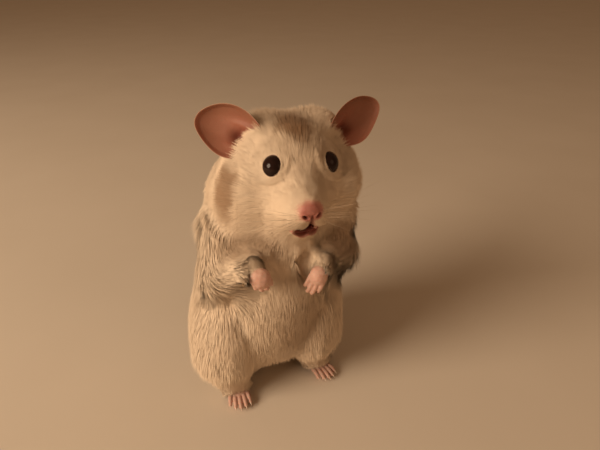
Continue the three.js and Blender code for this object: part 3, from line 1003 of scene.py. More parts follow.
def refine(thing, chosen):
    """Cuts each edge in two where `chosen`, a function of points, says so."""
    bm = bmesh.new()
    bm.from_mesh(thing.data)
    bm.edges.ensure_lookup_table()
    mids = np.array([(e.verts[0].co + e.verts[1].co) / 2 for e in bm.edges])
    edges = [bm.edges[i] for i in np.nonzero(chosen(mids))[0]]
    bmesh.ops.subdivide_edges(bm, edges=edges, cuts=1, smooth=0.0)
    bmesh.ops.triangulate(bm, faces=[f for f in bm.faces if len(f.verts) > 4])
    bm.to_mesh(thing.data)
    bm.free()


def near_muzzle(points):
    muzzle = np.linalg.norm(to_head(points) - (NOSE + (0.6, -2, -4)), axis=1)
    return muzzle < 7.5


def near_lids(points):
    """Whether points lie in the ring where an eye's lid will be."""
    near = np.zeros(len(points), bool)
    for side in SIDES:
        away = np.linalg.norm(points - eye_centre(side), axis=1)
        near |= (away > 2.4 * MM) & (away < 4.6 * MM)
    return near


refine(skin, lambda points: near_muzzle(points) | near_lids(points))
log("with a finer face the skin has", len(skin.data.polygons), "faces")


# %% Shape the lids
LID_FROM, LID_CREST = 2.58, 2.72  # where the lid starts and where it is highest, in mm
LID_HEIGHT = 0.16  # of its edge above the eyeball
SKIN_BEHIND = 0.9  # how far the skin lies behind the open eye's surface
FACE_FROM, FACE_FULL = 2.8, 5.4  # where the lid passes over into the face
BALL_EDGE = 2.9  # beyond this the eyeball's surface runs on as a cone


def eye_axis(points, normals, side):
    """The way an eye looks: the mean slope of the skin round it."""
    away = np.linalg.norm(points - eye_centre(side), axis=1)
    ring = (away > 3.6 * MM) & (away < 6.5 * MM)
    return unit(normals[ring].mean(0))


def shape_lids(points, normals):
    """Lays a round lid on each eyeball; returns the points with the masks of lid and opening."""
    lid, open_eye = np.zeros(len(points)), np.zeros(len(points))
    for side in SIDES:
        axis = eye_axis(points, normals, side)
        upper = unit(np.array([0, 0, 1]) - axis[2] * axis)
        beside = np.cross(upper, axis)
        away = (points - eye_centre(side)) / MM
        height = away @ axis
        out = np.hypot(away @ upper, away @ beside)
        oval = np.hypot(away @ upper * 0.94, away @ beside * 1.08)
        radius = EYE_RADIUS / MM
        ball = np.sqrt(radius**2 - np.minimum(out, BALL_EDGE) ** 2)
        ball = ball - 0.4 * np.maximum(out - BALL_EDGE, 0)
        behind = ball - SKIN_BEHIND
        edge = ball + LID_HEIGHT
        target = behind + (edge - behind) * smooth_step(oval, LID_FROM, LID_CREST)
        mix = (1 - smooth_step(oval, FACE_FROM, FACE_FULL)) * (height > 0)
        points = points + np.outer((target - height) * mix * MM, axis)
        ring = smooth_step(oval, 2.4, 2.6) * (1 - smooth_step(oval, LID_CREST, 2.95))
        ring = ring * (height > 0)
        lid = np.maximum(lid, ring)
        open_eye = np.maximum(open_eye, (1 - smooth_step(oval, 2.68, 2.78)) * (height > 0))
        log(side, "eye looks", tuple(round(v, 2) for v in axis))
    return points, lid, open_eye


# %% Shape the nose and the mouth
def add_nostrils(push, ns, nu):
    """Two comma-shaped nostrils with raised wings, and the whisker pads below them."""
    dark = np.zeros(len(push))
    for sign in (-1, 1):
        a, b = (ns - sign * 1.9) * sign, nu + 1.15
        tilted, over = a * 0.8 + b * 0.6, -a * 0.6 + b * 0.8
        hole = hill(tilted / 0.72, over / 0.42)
        wing = hill((np.hypot(tilted, over * 1.5) - 1.2) / 0.42)
        push += 0.22 * wing - 1.2 * hole
        # painted shade in the nostril's hole
        dark = np.maximum(dark, 1.15 * hole)
        push += 0.85 * hill((ns - sign * 4.4) / 2.6, (nu + 3.8) / 2.6)
    return dark


def add_cleft(push, ns, nu, u):
    """The cleft from the nose down to the split upper lip, and the lip's two lobes."""
    below = np.clip((-0.6 - nu) / 5.6, 0, 1)
    wide = 0.24 + 0.62 * below**2
    cleft = hill(ns / wide) * smooth_step(nu, -0.2, -1.4)
    cleft = cleft * smooth_step(u, MOUTH_UP - 0.9, MOUTH_UP - 0.1)
    push -= (0.55 + 0.75 * below) * cleft
    push += 0.35 * hill((np.abs(ns) - 1.8) / 1.2, (u - MOUTH_UP - 1.3) / 1.3)
    return cleft


def add_mouth(push, ns, mu):
    """Opens the mouth a little; returns how far within it, on its lip and bare each point is."""
    span = np.clip(1 - (ns / MOUTH_HALF) ** 2, 0, 1)
    top = -0.15 + 0.35 * (1 - span) + 0.5 * hill(ns / 0.8)
    low = top - 4.0 * np.sqrt(span)
    within = smooth_step(top - mu, -0.1, 0.3) * smooth_step(mu - low, -0.1, 0.8)
    within = within * smooth_step(span, 0, 0.4)
    push -= 1.7 * within
    lip = hill((mu - low + 0.2) / 0.5) * (span > 0.02)
    push += 0.4 * lip
    bare = (mu < top + 0.3) & (mu > low - 0.2) & (np.abs(ns) < MOUTH_HALF + 0.4)
    bare = bare | (np.hypot(np.abs(ns) - MOUTH_HALF, mu - 0.1) < 1.1)
    bottom = within * (1 - smooth_step(mu - low, 0.8, 2.9))
    return within, lip, bare, bottom


def shape_muzzle(points):
    """Moves the points of the nose and mouth; returns them with the masks of their colours; the dark mask
    is painted shade over the dark red of nostrils, cleft and mouth.
    """
    s, f, u = to_head(points).T
    front = smooth_step(f, 0.5, 3.5)
    ns, nu = s - midline(u), u - NOSE[2]
    push = 0.25 * hill(ns / 3.0, nu / 2.6, 4)
    dark = add_nostrils(push, ns, nu)
    cleft = add_cleft(push, ns, nu, u)
    mu = u - MOUTH_UP + 0.40 * np.maximum(ns, 0) + 0.12 * np.maximum(-ns, 0)  # it hangs askew
    within, lip, bare, bottom = add_mouth(push, ns, mu)
    # dark: painted shade in the nostrils, the cleft and the open mouth, over their own dark red
    dark = np.clip(np.maximum(dark, np.maximum(within, cleft)) * front, 0, 1)
    dark = np.maximum(dark, 0.04 * bare * (front > 0))
    pad = 1 - smooth_step(np.hypot(ns / 5.4, (nu - 0.2) / 4.6), 0.45, 1.05)
    seam = hill(ns / 1.5) * smooth_step(nu, 0, -2) * (mu > -0.5)
    lips = np.maximum(np.maximum(0.9 * lip, within), 0.7 * bare)
    pink = np.maximum(np.maximum(pad, 0.8 * seam), lips) * front
    push = push * front * MM
    return points + np.outer(push, front_axis), np.clip(pink, 0, 1), dark, bottom * front


def folded_lip(points, normals):
    """The parts of the lips that face back into the mouth."""
    s, f, u = to_head(points).T
    near = (np.abs(s - midline(u)) < 6) & (np.abs(u - MOUTH_UP + 1) < 3.5) & (f > 0.5)
    return (near & (normals @ front_axis < 0.15)).astype(float)


def shape_face(thing):
    """Shapes lids, nose and mouth, and leaves the masks of their colours on the mesh, with the painted
    shade of nostrils, cleft and mouth among them.
    """
    points = places(thing.data)
    points, lid, open_eye = shape_lids(points, vertex_normals(thing.data))
    points, pink, dark, floor_of_mouth = shape_muzzle(points)
    put_places(thing.data, points)
    turned = folded_lip(points, vertex_normals(thing.data))
    pink, dark = np.maximum(pink, 0.8 * turned), np.maximum(dark, 0.05 * turned)
    masks = {"lid": lid, "open_eye": open_eye, "pink": pink, "dark": dark}
    for name, mask in {**masks, "mouth_floor": floor_of_mouth}.items():
        carry(thing.data, name, mask)


shape_face(skin)
log("the face is shaped")

# %% [markdown]
# ## A flat map of the skin
#
# The skin is cut into patches and laid flat. The map is the skin's own, and each tuft of the
# coat takes a small spot of it at the place where the tuft grows, so that a spot on the map
# goes with its place on the body.

# %% Unwrap
MAP_NAME = "OFBake"


def unwrap(thing):
    """Cuts the whole mesh into triangles and lays them flat in patches."""
    bpy.ops.object.select_all(action="DESELECT")
    thing.select_set(True)
    bpy.context.view_layer.objects.active = thing
    thing.data.uv_layers.new(name=MAP_NAME)
    bpy.ops.object.mode_set(mode="EDIT")
    bpy.ops.mesh.select_all(action="SELECT")
    bpy.ops.mesh.quads_convert_to_tris()
    bpy.ops.uv.smart_project(angle_limit=math.radians(66), island_margin=0.003)
    bpy.ops.object.mode_set(mode="OBJECT")
    thing.data.shade_smooth()


unwrap(skin)
log("the skin is unwrapped:", len(skin.data.polygons), "triangles")

# %% [markdown]
# ## Which way the hair lies
#
# Hair grows away from the nose over the face, down the neck, belly and back, and along the
# limbs towards the paws. Each point of the skin gets the direction of the part that it belongs
# to, laid flat on the skin, and the directions are then smoothed so that they turn gently.

# %% The lie of the coat
BODY_NODES = ["head", "neck", "trunk", "arm_right", "arm_left", "leg_right", "leg_left"]


def nearest_nodes(points, nodes):
    """The index of the nearest of the nodes to each point."""
    return np.argmin(np.stack([distances(points, [node]) for node in nodes]), axis=0)


def along_limb(points, joints):
    """The direction of the nearest length of a limb, from its joints."""
    best = np.full(len(points), 1e9)
    way = np.zeros_like(points)
    for a, b in zip(joints, joints[1:]):
        t = np.clip(((points - a) @ (b - a)) / np.dot(b - a, b - a), 0, 1)
        off = np.linalg.norm(points - a - t[:, None] * (b - a), axis=1)
        way[off < best] = unit(b - a)
        best = np.minimum(best, off)
    return way


def openings():
    """Places that the hair turns away from, and how near they begin and cease to matter."""
    eyes = [(eye_centre(side), 3.6 * MM, 6.2 * MM) for side in SIDES]
    return eyes + [(on_head(midline(MOUTH_UP), 6.5, MOUTH_UP - 1.6), 3.5 * MM, 7.5 * MM)]


def laid_flat(ways, normals):
    """Directions turned so that they lie on the skin."""
    return unit(ways - np.sum(ways * normals, 1)[:, None] * normals)


def part_ways(points, belongs):
    """The direction of the hair on each part of the body, before it is smoothed."""
    nose_tip = on_head(*NOSE) + front_axis * 1.2 * MM
    from_nose = unit(points - nose_tip)
    front = to_head(points)[:, 1]
    down = np.array([0, 0, -1.0])
    over_head = from_nose + down * (1.1 * smooth_step(-front, 2, 24))[:, None]
    ways = np.tile(down, (len(points), 1))
    ways[belongs == 0] = over_head[belongs == 0]
    for hand, (arm, shoulder) in SHOULDERS.items():
        joints = [inside_box(arm, shoulder), inside_box(*ELBOWS[hand])]
        joints += [inside_box(hand, PAWS[hand][place]) for place in ("root", "palm")]
        chosen = belongs == BODY_NODES.index(arm)
        ways[chosen] = along_limb(points[chosen], joints)
    for side in SIDES:
        foot = f"foot_{side}"
        chosen = belongs == BODY_NODES.index(f"leg_{side}")
        toes = unit(inside_box(foot, PAWS[foot]["palm"]) - points[chosen])
        low = 1 - smooth_step(points[chosen][:, 2], 6 * MM, 26 * MM)
        ways[chosen] = down + toes * low[:, None]
    return ways


def hair_ways(points, normals, pairs, belongs):
    """The lie of the hair at each point: smoothed, and turned away from the eyes and mouth."""
    ways = laid_flat(part_ways(points, belongs), normals)
    for _ in range(10):
        ways = laid_flat(averaged(ways, pairs, 8), normals)
    for centre, near, far in openings():
        away = laid_flat(points - centre, normals)
        beside = 1 - smooth_step(np.linalg.norm(points - centre, axis=1), near, far)
        inward = np.maximum(-np.sum(ways * away, 1), 0)
        ways = laid_flat(ways + away * ((1.15 * inward + 0.25) * beside)[:, None], normals)
    return laid_flat(averaged(ways, pairs, 2), normals)


skin_points = places(skin.data)
skin_pairs = edge_pairs(skin.data)
skin_normals = unit(averaged(vertex_normals(skin.data), skin_pairs, 12))
skin_node = nearest_nodes(skin_points, BODY_NODES)
hair_way = hair_ways(skin_points, skin_normals, skin_pairs, skin_node)
log("the lie of the hair is set")

# %% [markdown]
# ## The coat
#
# A hamster's coat is short, dense and very soft. Hair curves would be lost when the model is
# exported, so each tuft is a thin flat solid of three sides: a root, a bend in the outer coat,
# and a point. It leaves the skin at a slant and lies over along the body. Tufts draw together
# in little locks, as real hair does, and are shorter and finer where the coat is shallow. A
# wider, lower undercoat fills in below. Their shading follows the skin, so the coat looks soft.

# %% Where tufts grow
LAYERS = {  # share of full length; least width and what depth adds, in mm; degrees off the skin
    "coat": {
        "tufts": 88000, "segments": 2, "long": 1.0, "wide": (0.11, 0.15), "rise": 30, "lie": 5,
    },
    "undercoat": {
        "tufts": 140000, "segments": 1, "long": 0.8, "wide": (0.16, 0.24), "rise": 24, "lie": 12,
    },
}
PIECE_LIMIT = 198000  # triangles in one piece
LONGEST = 6.0 * MM
LEAST_DEPTH = 0.1  # of the coat, in millimetres
MOUTH_BARE, MOUTH_FAR = 3.6 * MM, 9 * MM  # where hair starts by the mouth and where it is full
HAIR_TELLS = ("depth", "pink", "open_eye", "paw", "dark", "ear", "ear_up", "ear_out", "ear_in")


def face_corners(mesh):
    corners = np.empty(len(mesh.loops), np.int32)
    mesh.loops.foreach_get("vertex_index", corners)
    return corners.reshape(-1, 3)


def coat_room():
    """The coat's depth at each point of the skin, in metres, and how thickly it grows there."""
    told = {name: carried(skin.data, name) for name in HAIR_TELLS}
    bare = np.maximum(smooth_step(told["pink"], 0.35, 0.95), told["open_eye"])
    bare = np.maximum(bare, smooth_step(told["paw"], 0.1, 0.95))
    bare = np.maximum(bare, told["dark"] > 0.02)
    inner = 1 - smooth_step(told["ear_up"], 0.05, 0.24)
    on_ear = np.where(told["ear_in"] > 0.5, 0.5 * inner, 0.3)
    on_ear = on_ear * (told["ear_out"] < 0.9)
    bare = np.where(told["ear"] > 0.5, 1 - on_ear, bare)
    mouth = np.linalg.norm(skin_points - openings()[-1][0], axis=1)
    full = np.maximum(told["depth"], LEAST_DEPTH)
    by_mouth = np.minimum(full, LEAST_DEPTH + 1.2 * smooth_step(mouth, MOUTH_BARE, MOUTH_FAR))
    depth = np.where(mouth < MOUTH_FAR, by_mouth, full)
    return depth * MM, 1 - bare


def scatter(count, weight):
    """Places spread over the skin's triangles by weight: the face and the shares of its corners."""
    corners = face_corners(skin.data)
    a, b, c = (skin_points[corners[:, i]] for i in range(3))
    area = np.linalg.norm(np.cross(b - a, c - a), axis=1) / 2
    total = np.cumsum(area * weight[corners].mean(1))
    drawn = (np.arange(count) + chance.random(count)) / count * total[-1]
    face = np.minimum(np.searchsorted(total, drawn), len(corners) - 1)
    r = np.sqrt(chance.random(count))
    s = chance.random(count)
    shares = np.stack([1 - r, r * (1 - s), r * s], 1)
    return face, shares


def at_shares(values, face, shares):
    """A vertex value at places on the faces."""
    chosen = values[face_corners(skin.data)[face]]
    if chosen.ndim == 3:
        return np.einsum("nk,nkc->nc", shares, chosen)
    return np.sum(chosen * shares, 1)


def map_at(face, shares):
    """Places on the skin's flat map."""
    uv = np.empty(len(skin.data.loops) * 2, np.float32)
    skin.data.uv_layers[MAP_NAME].data.foreach_get("uv", uv)
    return np.einsum("nk,nkc->nc", shares, uv.reshape(-1, 3, 2)[face])


def drift(points, size, seed):
    """Smooth random vectors that change over about `size`."""
    shift = Vector((seed * 7.3, seed * 3.1, seed * 5.7))
    return np.array([noise.noise_vector(Vector(p) / size + shift) for p in points])


# %% Tufts as solid mesh
TUFT_SIDES = 3
TUFT_HEIGHT = 0.12  # of a tuft's section, as a share of its width
TUFT_BEND = 0.45  # where along its length a tuft of two segments bends
TUFT_ROUND = 0.12  # how far its shading turns from the skin's slope to its own
PATCH = 0.003  # size of a tuft's spot on the flat map


def tuft_faces(segments):
    """The triangles of one closed tuft: its root, its sides and its point."""
    n = TUFT_SIDES
    faces = [(0, 1, 2)]
    for k in range(n):
        k2 = (k + 1) % n
        for ring in range(segments - 1):
            a, b = ring * n, (ring + 1) * n
            faces += [(a + k2, a + k, b + k2), (b + k2, a + k, b + k)]
        last = (segments - 1) * n
        faces.append((last + k2, last + k, segments * n))
    return np.array(faces)


def tuft_mesh(name, tufts, segments):
    """One mesh of closed tufts that set off along `first` and end along `last`."""
    root, first, last, normal, long, wide, uv, tone = tufts
    n = len(root)
    across = unit(np.cross(first, normal))
    upper = np.cross(across, first)
    stops = [TUFT_BEND * i for i in range(segments)] + [1.0]
    points, cores, tips, spots = [], [], [], []
    for s in stops:
        core = root + long[:, None] * (first * (s - s * s / 2) + last * (s * s / 2))
        for k in range(TUFT_SIDES if s < 1 else 1):
            angle = math.pi / 2 + k * 2 * math.pi / TUFT_SIDES
            out = across * math.cos(angle) + upper * (TUFT_HEIGHT * math.sin(angle))
            points.append(core + out * ((0 if s == 1 else 0.9 + 0.1 * s) * wide / 2)[:, None])
            cores.append(core)
            tips.append(s)
            spots.append((0.5 * math.sin(angle * 3 + k), s - 0.5))
    points, cores = np.stack(points, 1), np.stack(cores, 1)
    per = points.shape[1]
    faces = (tuft_faces(segments)[None] + (np.arange(n) * per)[:, None, None]).reshape(-1, 3)
    mesh = bpy.data.meshes.new(name)
    mesh.vertices.add(n * per)
    mesh.vertices.foreach_set("co", points.astype(np.float32).ravel())
    mesh.loops.add(faces.size)
    mesh.loops.foreach_set("vertex_index", faces.astype(np.int32).ravel())
    mesh.polygons.add(len(faces))
    mesh.polygons.foreach_set("loop_start", np.arange(0, faces.size, 3, dtype=np.int32))
    mesh.update(calc_edges=True)
    flat = (uv[:, None, :] + PATCH * np.array(spots)[None]).reshape(-1, 2)
    layer = mesh.uv_layers.new(name=MAP_NAME)
    layer.data.foreach_set("uv", flat[faces.ravel()].astype(np.float32).ravel())
    carry(mesh, "tip", np.tile(tips, n))
    carry(mesh, "tone", np.repeat(tone, per))
    soft = unit(TUFT_ROUND * unit(points - cores) + normal[:, None, :])
    mesh.shade_smooth()
    mesh.normals_split_custom_set_from_vertices(soft.reshape(-1, 3).tolist())
    return mesh


# %% Grow the coat
LOCK_SIZE = 12  # tufts in a lock
LOCK_REACH = 1.5 * MM
FLOOR_ROOM = 0.3 * MM  # least height of a tuft's tip
TRUNK_MIDDLE = middle("trunk")

depth_here, hair_here = coat_room()


def gather_locks(root, first, last, long):
    """Bends the ends of the tufts towards a few leaders, so that they form small locks."""
    leaders = chance.choice(len(root), len(root) // LOCK_SIZE, replace=False)
    finder = kdtree.KDTree(len(leaders))
    tips = root + long[:, None] * (first + last) / 2
    for i, leader in enumerate(leaders):
        finder.insert(root[leader], i)
    finder.balance()
    nearest = np.array([leaders[finder.find(p)[1]] for p in root])
    pull = (tips[nearest] - tips) / long[:, None]
    reach = np.linalg.norm(root[nearest] - root, axis=1)
    hold = 0.15 * (reach < LOCK_REACH)
    return unit(first + 0.12 * hold[:, None] * pull), unit(last + 0.7 * hold[:, None] * pull)


def off_the_floor(root, first, last, long):
    """Turns up the tufts that would go through the floor."""
    tip = root[:, 2] + long * (first[:, 2] + last[:, 2]) / 2
    short = np.maximum(FLOOR_ROOM - tip, 0) / long
    lift = np.array([0, 0, 1.0]) * (2.2 * short)[:, None]
    return unit(first + lift), unit(last + lift)


def grow(layer):
    """Draws the tufts of one layer: where each grows, how long, and which way."""
    fine = 1.0 / (0.15 + 0.26 * smooth_step(depth_here / MM, 0.5, 2.6))
    face, shares = scatter(layer["tufts"], hair_here * fine**1.5)
    root = at_shares(skin_points, face, shares)
    normal = unit(at_shares(skin_normals, face, shares))
    way = unit(at_shares(hair_way, face, shares))
    depth = at_shares(depth_here, face, shares)
    node = skin_node[face_corners(skin.data)[face][:, 0]]
    way = way + 0.22 * drift(root, 8 * MM, 1) + 0.07 * drift(root, 1.8 * MM, 2)
    way = laid_flat(way, normal)

    def spread():
        return chance.random(len(root))

    long = np.minimum(0.5 * MM + 2.3 * depth, LONGEST) * (0.82 + 0.36 * spread()) * layer["long"]
    least, more = layer["wide"]
    wide = least + more * smooth_step(depth / MM, 0.4, 2.4)
    wide = wide * MM * (0.8 + 0.4 * spread())
    rise = np.radians(layer["rise"] + 6 * (spread() - 0.5))
    lie = np.radians(layer["lie"] + 6 * spread() ** 2)
    first = way * np.cos(rise)[:, None] + normal * np.sin(rise)[:, None]
    last = way * np.cos(lie)[:, None] + normal * np.sin(lie)[:, None]
    first, last = gather_locks(root, first, last, long)
    root = root - normal * 0.1 * MM
    first, last = off_the_floor(root, first, last, long)
    return node, (root, first, last, normal, long, wide, map_at(face, shares), spread())


def make_layer(layer, material):
    """One layer of the coat, in pieces by part of the body and, where large, round the body."""
    segments = LAYERS[layer]["segments"]
    node, tufts = grow(LAYERS[layer])
    limit = PIECE_LIMIT // len(tuft_faces(segments))
    pieces = []
    for index, name in enumerate(BODY_NODES):
        chosen = np.nonzero(node == index)[0]
        turn = np.arctan2(tufts[0][chosen, 0] - TRUNK_MIDDLE[0], tufts[0][chosen, 1])
        parts = max(1, math.ceil(len(chosen) / limit))
        for part, some in enumerate(np.array_split(chosen[np.argsort(turn)], parts)):
            title = f"{layer}_{name}" + (f"_{part + 1}" if parts > 1 else "")
            mesh = tuft_mesh(title, [values[some] for values in tufts], segments)
            mesh.materials.append(material)
            piece = new_object(title, mesh)
            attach(piece, "root")
            pieces.append(piece)
    return pieces


# %% [markdown]
# ## The coat's patches and the belly's painted shade
#
# The coat is cream, with smoke-coloured patches on the crown, beside the neck, over the shoulders
# and on the back. The belly is darkened a little with painted shade, as if it lay in shadow. Skin
# and coat share one recipe, made of soft-edged ellipsoids in the animal's own space, their edges
# frayed by noise.

# %% Patches and painted shade
CREAM = (0.80, 0.615, 0.445)
CREAM_PALE = (0.85, 0.68, 0.51)
SMOKE = (0.33, 0.185, 0.095)
SMOKE_DARK = (0.23, 0.125, 0.06)

FRAY_SCALE = 260.0  # lumps of noise in each metre
FRAY_REACH = 5 * MM
PATCH_EDGE = 1.35, 0.55  # where a patch starts and where it is full, in its half-sizes
SMOKE_PATCHES_AND_BELLY_SHADE = [  # middle, half-sizes in millimetres, strength
    (on_head(-0.3, -6.5, 11.0), (5.8, 8.5, 8.0), 1.0),
    (on_head(0.2, -1.5, 9.5), (3.4, 5.0, 6.0), 0.8),
    (on_head(1.5, 0.5, 9.0), (3.6, 5.0, 5.0), 0.35),
    (on_head(5.5, 0.5, 5.0), (3.0, 4.0, 5.0), 0.35),
    (on_head(-20.5, -4.5, -7.5), (4.6, 5.0, 9.5), 0.9),
    (on_head(-12.5, 0.5, -23.5), (12.0, 5.0, 4.4), 0.6),
    (on_head(16.5, -0.5, -25.5), (7.0, 6.5, 5.5), 0.65),
    (on_head(20.0, -6.0, -14.0), (5.0, 7.0, 9.0), 0.35),
    # painted shade: the belly is darkened as if it lay in shadow; it is not a marking
    (np.array((1.5, -17.0, 30.0)) * MM, (9.0, 10.0, 15.0), 0.42),
    (on_head(-9.0, -30.0, -26.0), (11.0, 12.0, 15.0), 0.8),
    (on_head(13.0, -30.0, -44.0), (12.0, 14.0, 14.0), 0.75),
    (on_head(-16.0, -26.0, -54.0), (10.0, 13.0, 10.0), 0.6),
]


def smoke_shade_mask(paint, place):
    """How much smoke colour the coat has at a place, from 0 to 1; on the belly it is painted shade."""
    mask = None
    for centre, half, strength in SMOKE_PATCHES_AND_BELLY_SHADE:
        off = paint.vector("SUBTRACT", place, tuple(centre))
        scaled = paint.vector("DIVIDE", off, tuple(h * MM for h in half))
        away = paint.vector("LENGTH", scaled, output="Value")
        spot = paint.step(away, *PATCH_EDGE) * strength
        mask = spot if mask is None else mask.most(spot)
    return mask


def markings_and_belly_shade(paint):
    """The colour of the coat at each place, with painted shade on the belly."""
    place = paint.place()
    noise_at = {"Vector": place, "Scale": FRAY_SCALE, "Detail": 3.0}
    fray = paint.add("ShaderNodeTexNoise", {}, noise_at, "Color")
    centred = paint.vector("SUBTRACT", fray, (0.5, 0.5, 0.5))
    shift = paint.vector("SCALE", centred, Scale=FRAY_REACH)
    smoke_and_shade = smoke_shade_mask(paint, paint.vector("ADD", place, shift))
    cream = paint.mix(paint.speckle(9 * MM, 2), CREAM, CREAM_PALE)
    smoke = paint.mix(paint.speckle(1.2 * MM, 2), SMOKE, SMOKE_DARK)
    # smoke colour on the patches, and on the belly as painted shade
    return paint.mix(smoke_and_shade, cream, smoke)


# %% Coat material
# roots: the hair's own darker under-colour and painted shade far down in the coat
ROOT_BROWN_AND_SHADE = (0.34, 0.20, 0.115)
TIP_PALE = (0.90, 0.77, 0.60)


def coat_paint():
    """Each tuft is a little darker at its root, partly the hair's own darker under-colour and partly
    painted shade far down in the coat, and some are slightly paler than others.
    """
    paint = Paint("hamster_coat")
    colour = markings_and_belly_shade(paint)
    tip, tone = paint.told("tip"), paint.told("tone")
    # darker roots: the hair's own under-colour and painted shade far down in the coat
    deep = paint.mix(0.08, colour, ROOT_BROWN_AND_SHADE)
    colour = paint.mix(paint.step(tip, -0.15, 0.5), deep, colour)
    colour = paint.mix(tone * 0.1, colour, TIP_PALE)
    return paint.finish(
        Base_Color=colour, Roughness=0.62 + tone * 0.2, Sheen_Weight=0.2, Sheen_Roughness=0.45,
        Sheen_Tint=(1.0, 0.88, 0.74), Specular_IOR_Level=0.25,
    )


def make_coat():
    material = coat_paint()
    for layer in LAYERS:
        pieces = make_layer(layer, material)
        count = sum(len(piece.data.polygons) for piece in pieces)
        log(layer, "has", len(pieces), "pieces and", count, "triangles")


make_coat()


# %% [markdown]
# ## Bare skin
#
# The skin shows on the nose, lips, lids, ears and paws. It is thin and pink, with a fine grain.
# The nostrils, the cleft and the open mouth are dark red with painted shade in them. Under the
# coat the same skin carries the coat's patches and the belly's painted shade.

# %% Skin material
PINK = (0.52, 0.225, 0.185)
PINK_DEEP = (0.42, 0.14, 0.11)
PAW_PINK = (0.70, 0.46, 0.37)
PAW_DEEP = (0.56, 0.31, 0.24)
EAR_RED = (0.33, 0.115, 0.075)
EAR_PALE = (0.35, 0.155, 0.10)
EAR_BROWN = (0.23, 0.10, 0.055)
# painted shade in the ear's hollow
EAR_HOLLOW_SHADE = (0.16, 0.035, 0.02)
# the rim's own paler colour together with a painted highlight
EAR_RIM_AND_HIGHLIGHT = (0.55, 0.33, 0.235)
# dark red of the mouth, nostrils and cleft, with painted shade in them
MOUTH_RED_AND_SHADE = (0.12, 0.022, 0.016)
LIP_DEEP = (0.34, 0.105, 0.075)
LID_DARK = (0.13, 0.06, 0.04)


def ear_colour(paint):
    """Reddish at the root, browner towards the upper edge, with painted shade in the hollow, and pale on
    the rim, partly its own colour and partly a painted highlight.
    """
    out, up = paint.told("ear_out"), paint.told("ear_up")
    ear = paint.mix(paint.step(up, 0.15, 0.75), EAR_RED, EAR_PALE)
    upper = paint.step(out, 0.45, 0.95) * paint.told("ear_top")
    ear = paint.mix(upper * 0.8, ear, EAR_BROWN)
    ear = paint.mix(paint.speckle(3.5 * MM, 4) * 0.35, ear, EAR_RED)
    # painted shade in the ear's hollow
    ear = paint.mix(paint.told("ear_well"), ear, EAR_HOLLOW_SHADE)
    # a paler rim: its own colour and a painted highlight
    return paint.mix(paint.step(out, 0.965, 0.995) * 0.8, ear, EAR_RIM_AND_HIGHLIGHT)


def skin_paint():
    paint = Paint("hamster_skin")
    mottled = paint.speckle(1.1 * MM, 3)
    grain = paint.speckle(0.35 * MM, 3)
    colour = paint.mix(0.12, markings_and_belly_shade(paint), PAW_PINK)
    colour = paint.mix(paint.told("paw"), colour, paint.mix(mottled, PAW_PINK, PAW_DEEP))
    colour = paint.mix(paint.told("ear"), colour, ear_colour(paint))
    colour = paint.mix(paint.told("pink"), colour, paint.mix(mottled, PINK, PINK_DEEP))
    colour = paint.mix(paint.told("lid"), colour, LID_DARK)
    # painted shade in the nostrils, cleft and open mouth
    colour = paint.mix(paint.told("dark"), colour, MOUTH_RED_AND_SHADE)
    colour = paint.mix(paint.told("mouth_floor"), colour, LIP_DEEP)
    bump = paint.relief(grain * 0.6 + mottled * 0.4, 0.12 * MM, 0.6)
    return paint.finish(
        Base_Color=colour, Roughness=0.55 - paint.told("dark") * 0.25, Normal=bump,
        Specular_IOR_Level=0.35,
        Subsurface_Weight=0.15, Subsurface_Radius=(1.0, 0.35, 0.2), Subsurface_Scale=1.0 * MM,
    )


skin.data.materials.clear()
skin.data.materials.append(skin_paint())
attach(skin, "root")
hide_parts(*FLESH)
log("the skin stands for", len(FLESH), "solids")

# %% [markdown]
# ## Eyes
#
# A hamster's eye is almost all dark pupil and iris, wet and strongly curved. It is one smooth
# ball with a clear gloss; only its front shows between the lids.


# %% Eyeballs
PUPIL_BLACK = (0.010, 0.005, 0.004)
IRIS_BROWN = (0.026, 0.011, 0.008)


def eye_paint():
    paint = Paint("hamster_eye")
    tone = paint.speckle(1.5 * MM, 3)
    colour = paint.mix(tone, PUPIL_BLACK, IRIS_BROWN)
    return paint.finish(
        Base_Color=colour, Roughness=0.12 + tone * 0.05, Coat_Weight=0.15, Coat_Roughness=0.05,
        Specular_IOR_Level=0.12,
    )


def make_eyes():
    paint = eye_paint()
    for side in SIDES:
        bm = bmesh.new()
        bmesh.ops.create_uvsphere(bm, u_segments=48, v_segments=32, radius=EYE_RADIUS)
        bmesh.ops.translate(bm, verts=bm.verts, vec=Vector(eye_centre(side)))
        mesh = bpy.data.meshes.new(f"eyeball_{side}")
        bm.to_mesh(mesh)
        bm.free()
        mesh.shade_smooth()
        mesh.materials.append(paint)
        eye = new_object(f"eyeball_{side}", mesh)
        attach(eye, "root")
        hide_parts(f"eye_{side}")
    log("the eyeballs are", round(2 * EYE_RADIUS / MM, 1), "mm across")


make_eyes()


# %% [markdown]
# ## Claws and whiskers
#
# Each finger and toe ends in a small pale claw, a curved cone. The whiskers are long tapering
# hairs that stand in rows on the pads beside the nose and sweep back; they are so fine that
# they show only as faint lines. Both are tubes that taper, so one class draws them.


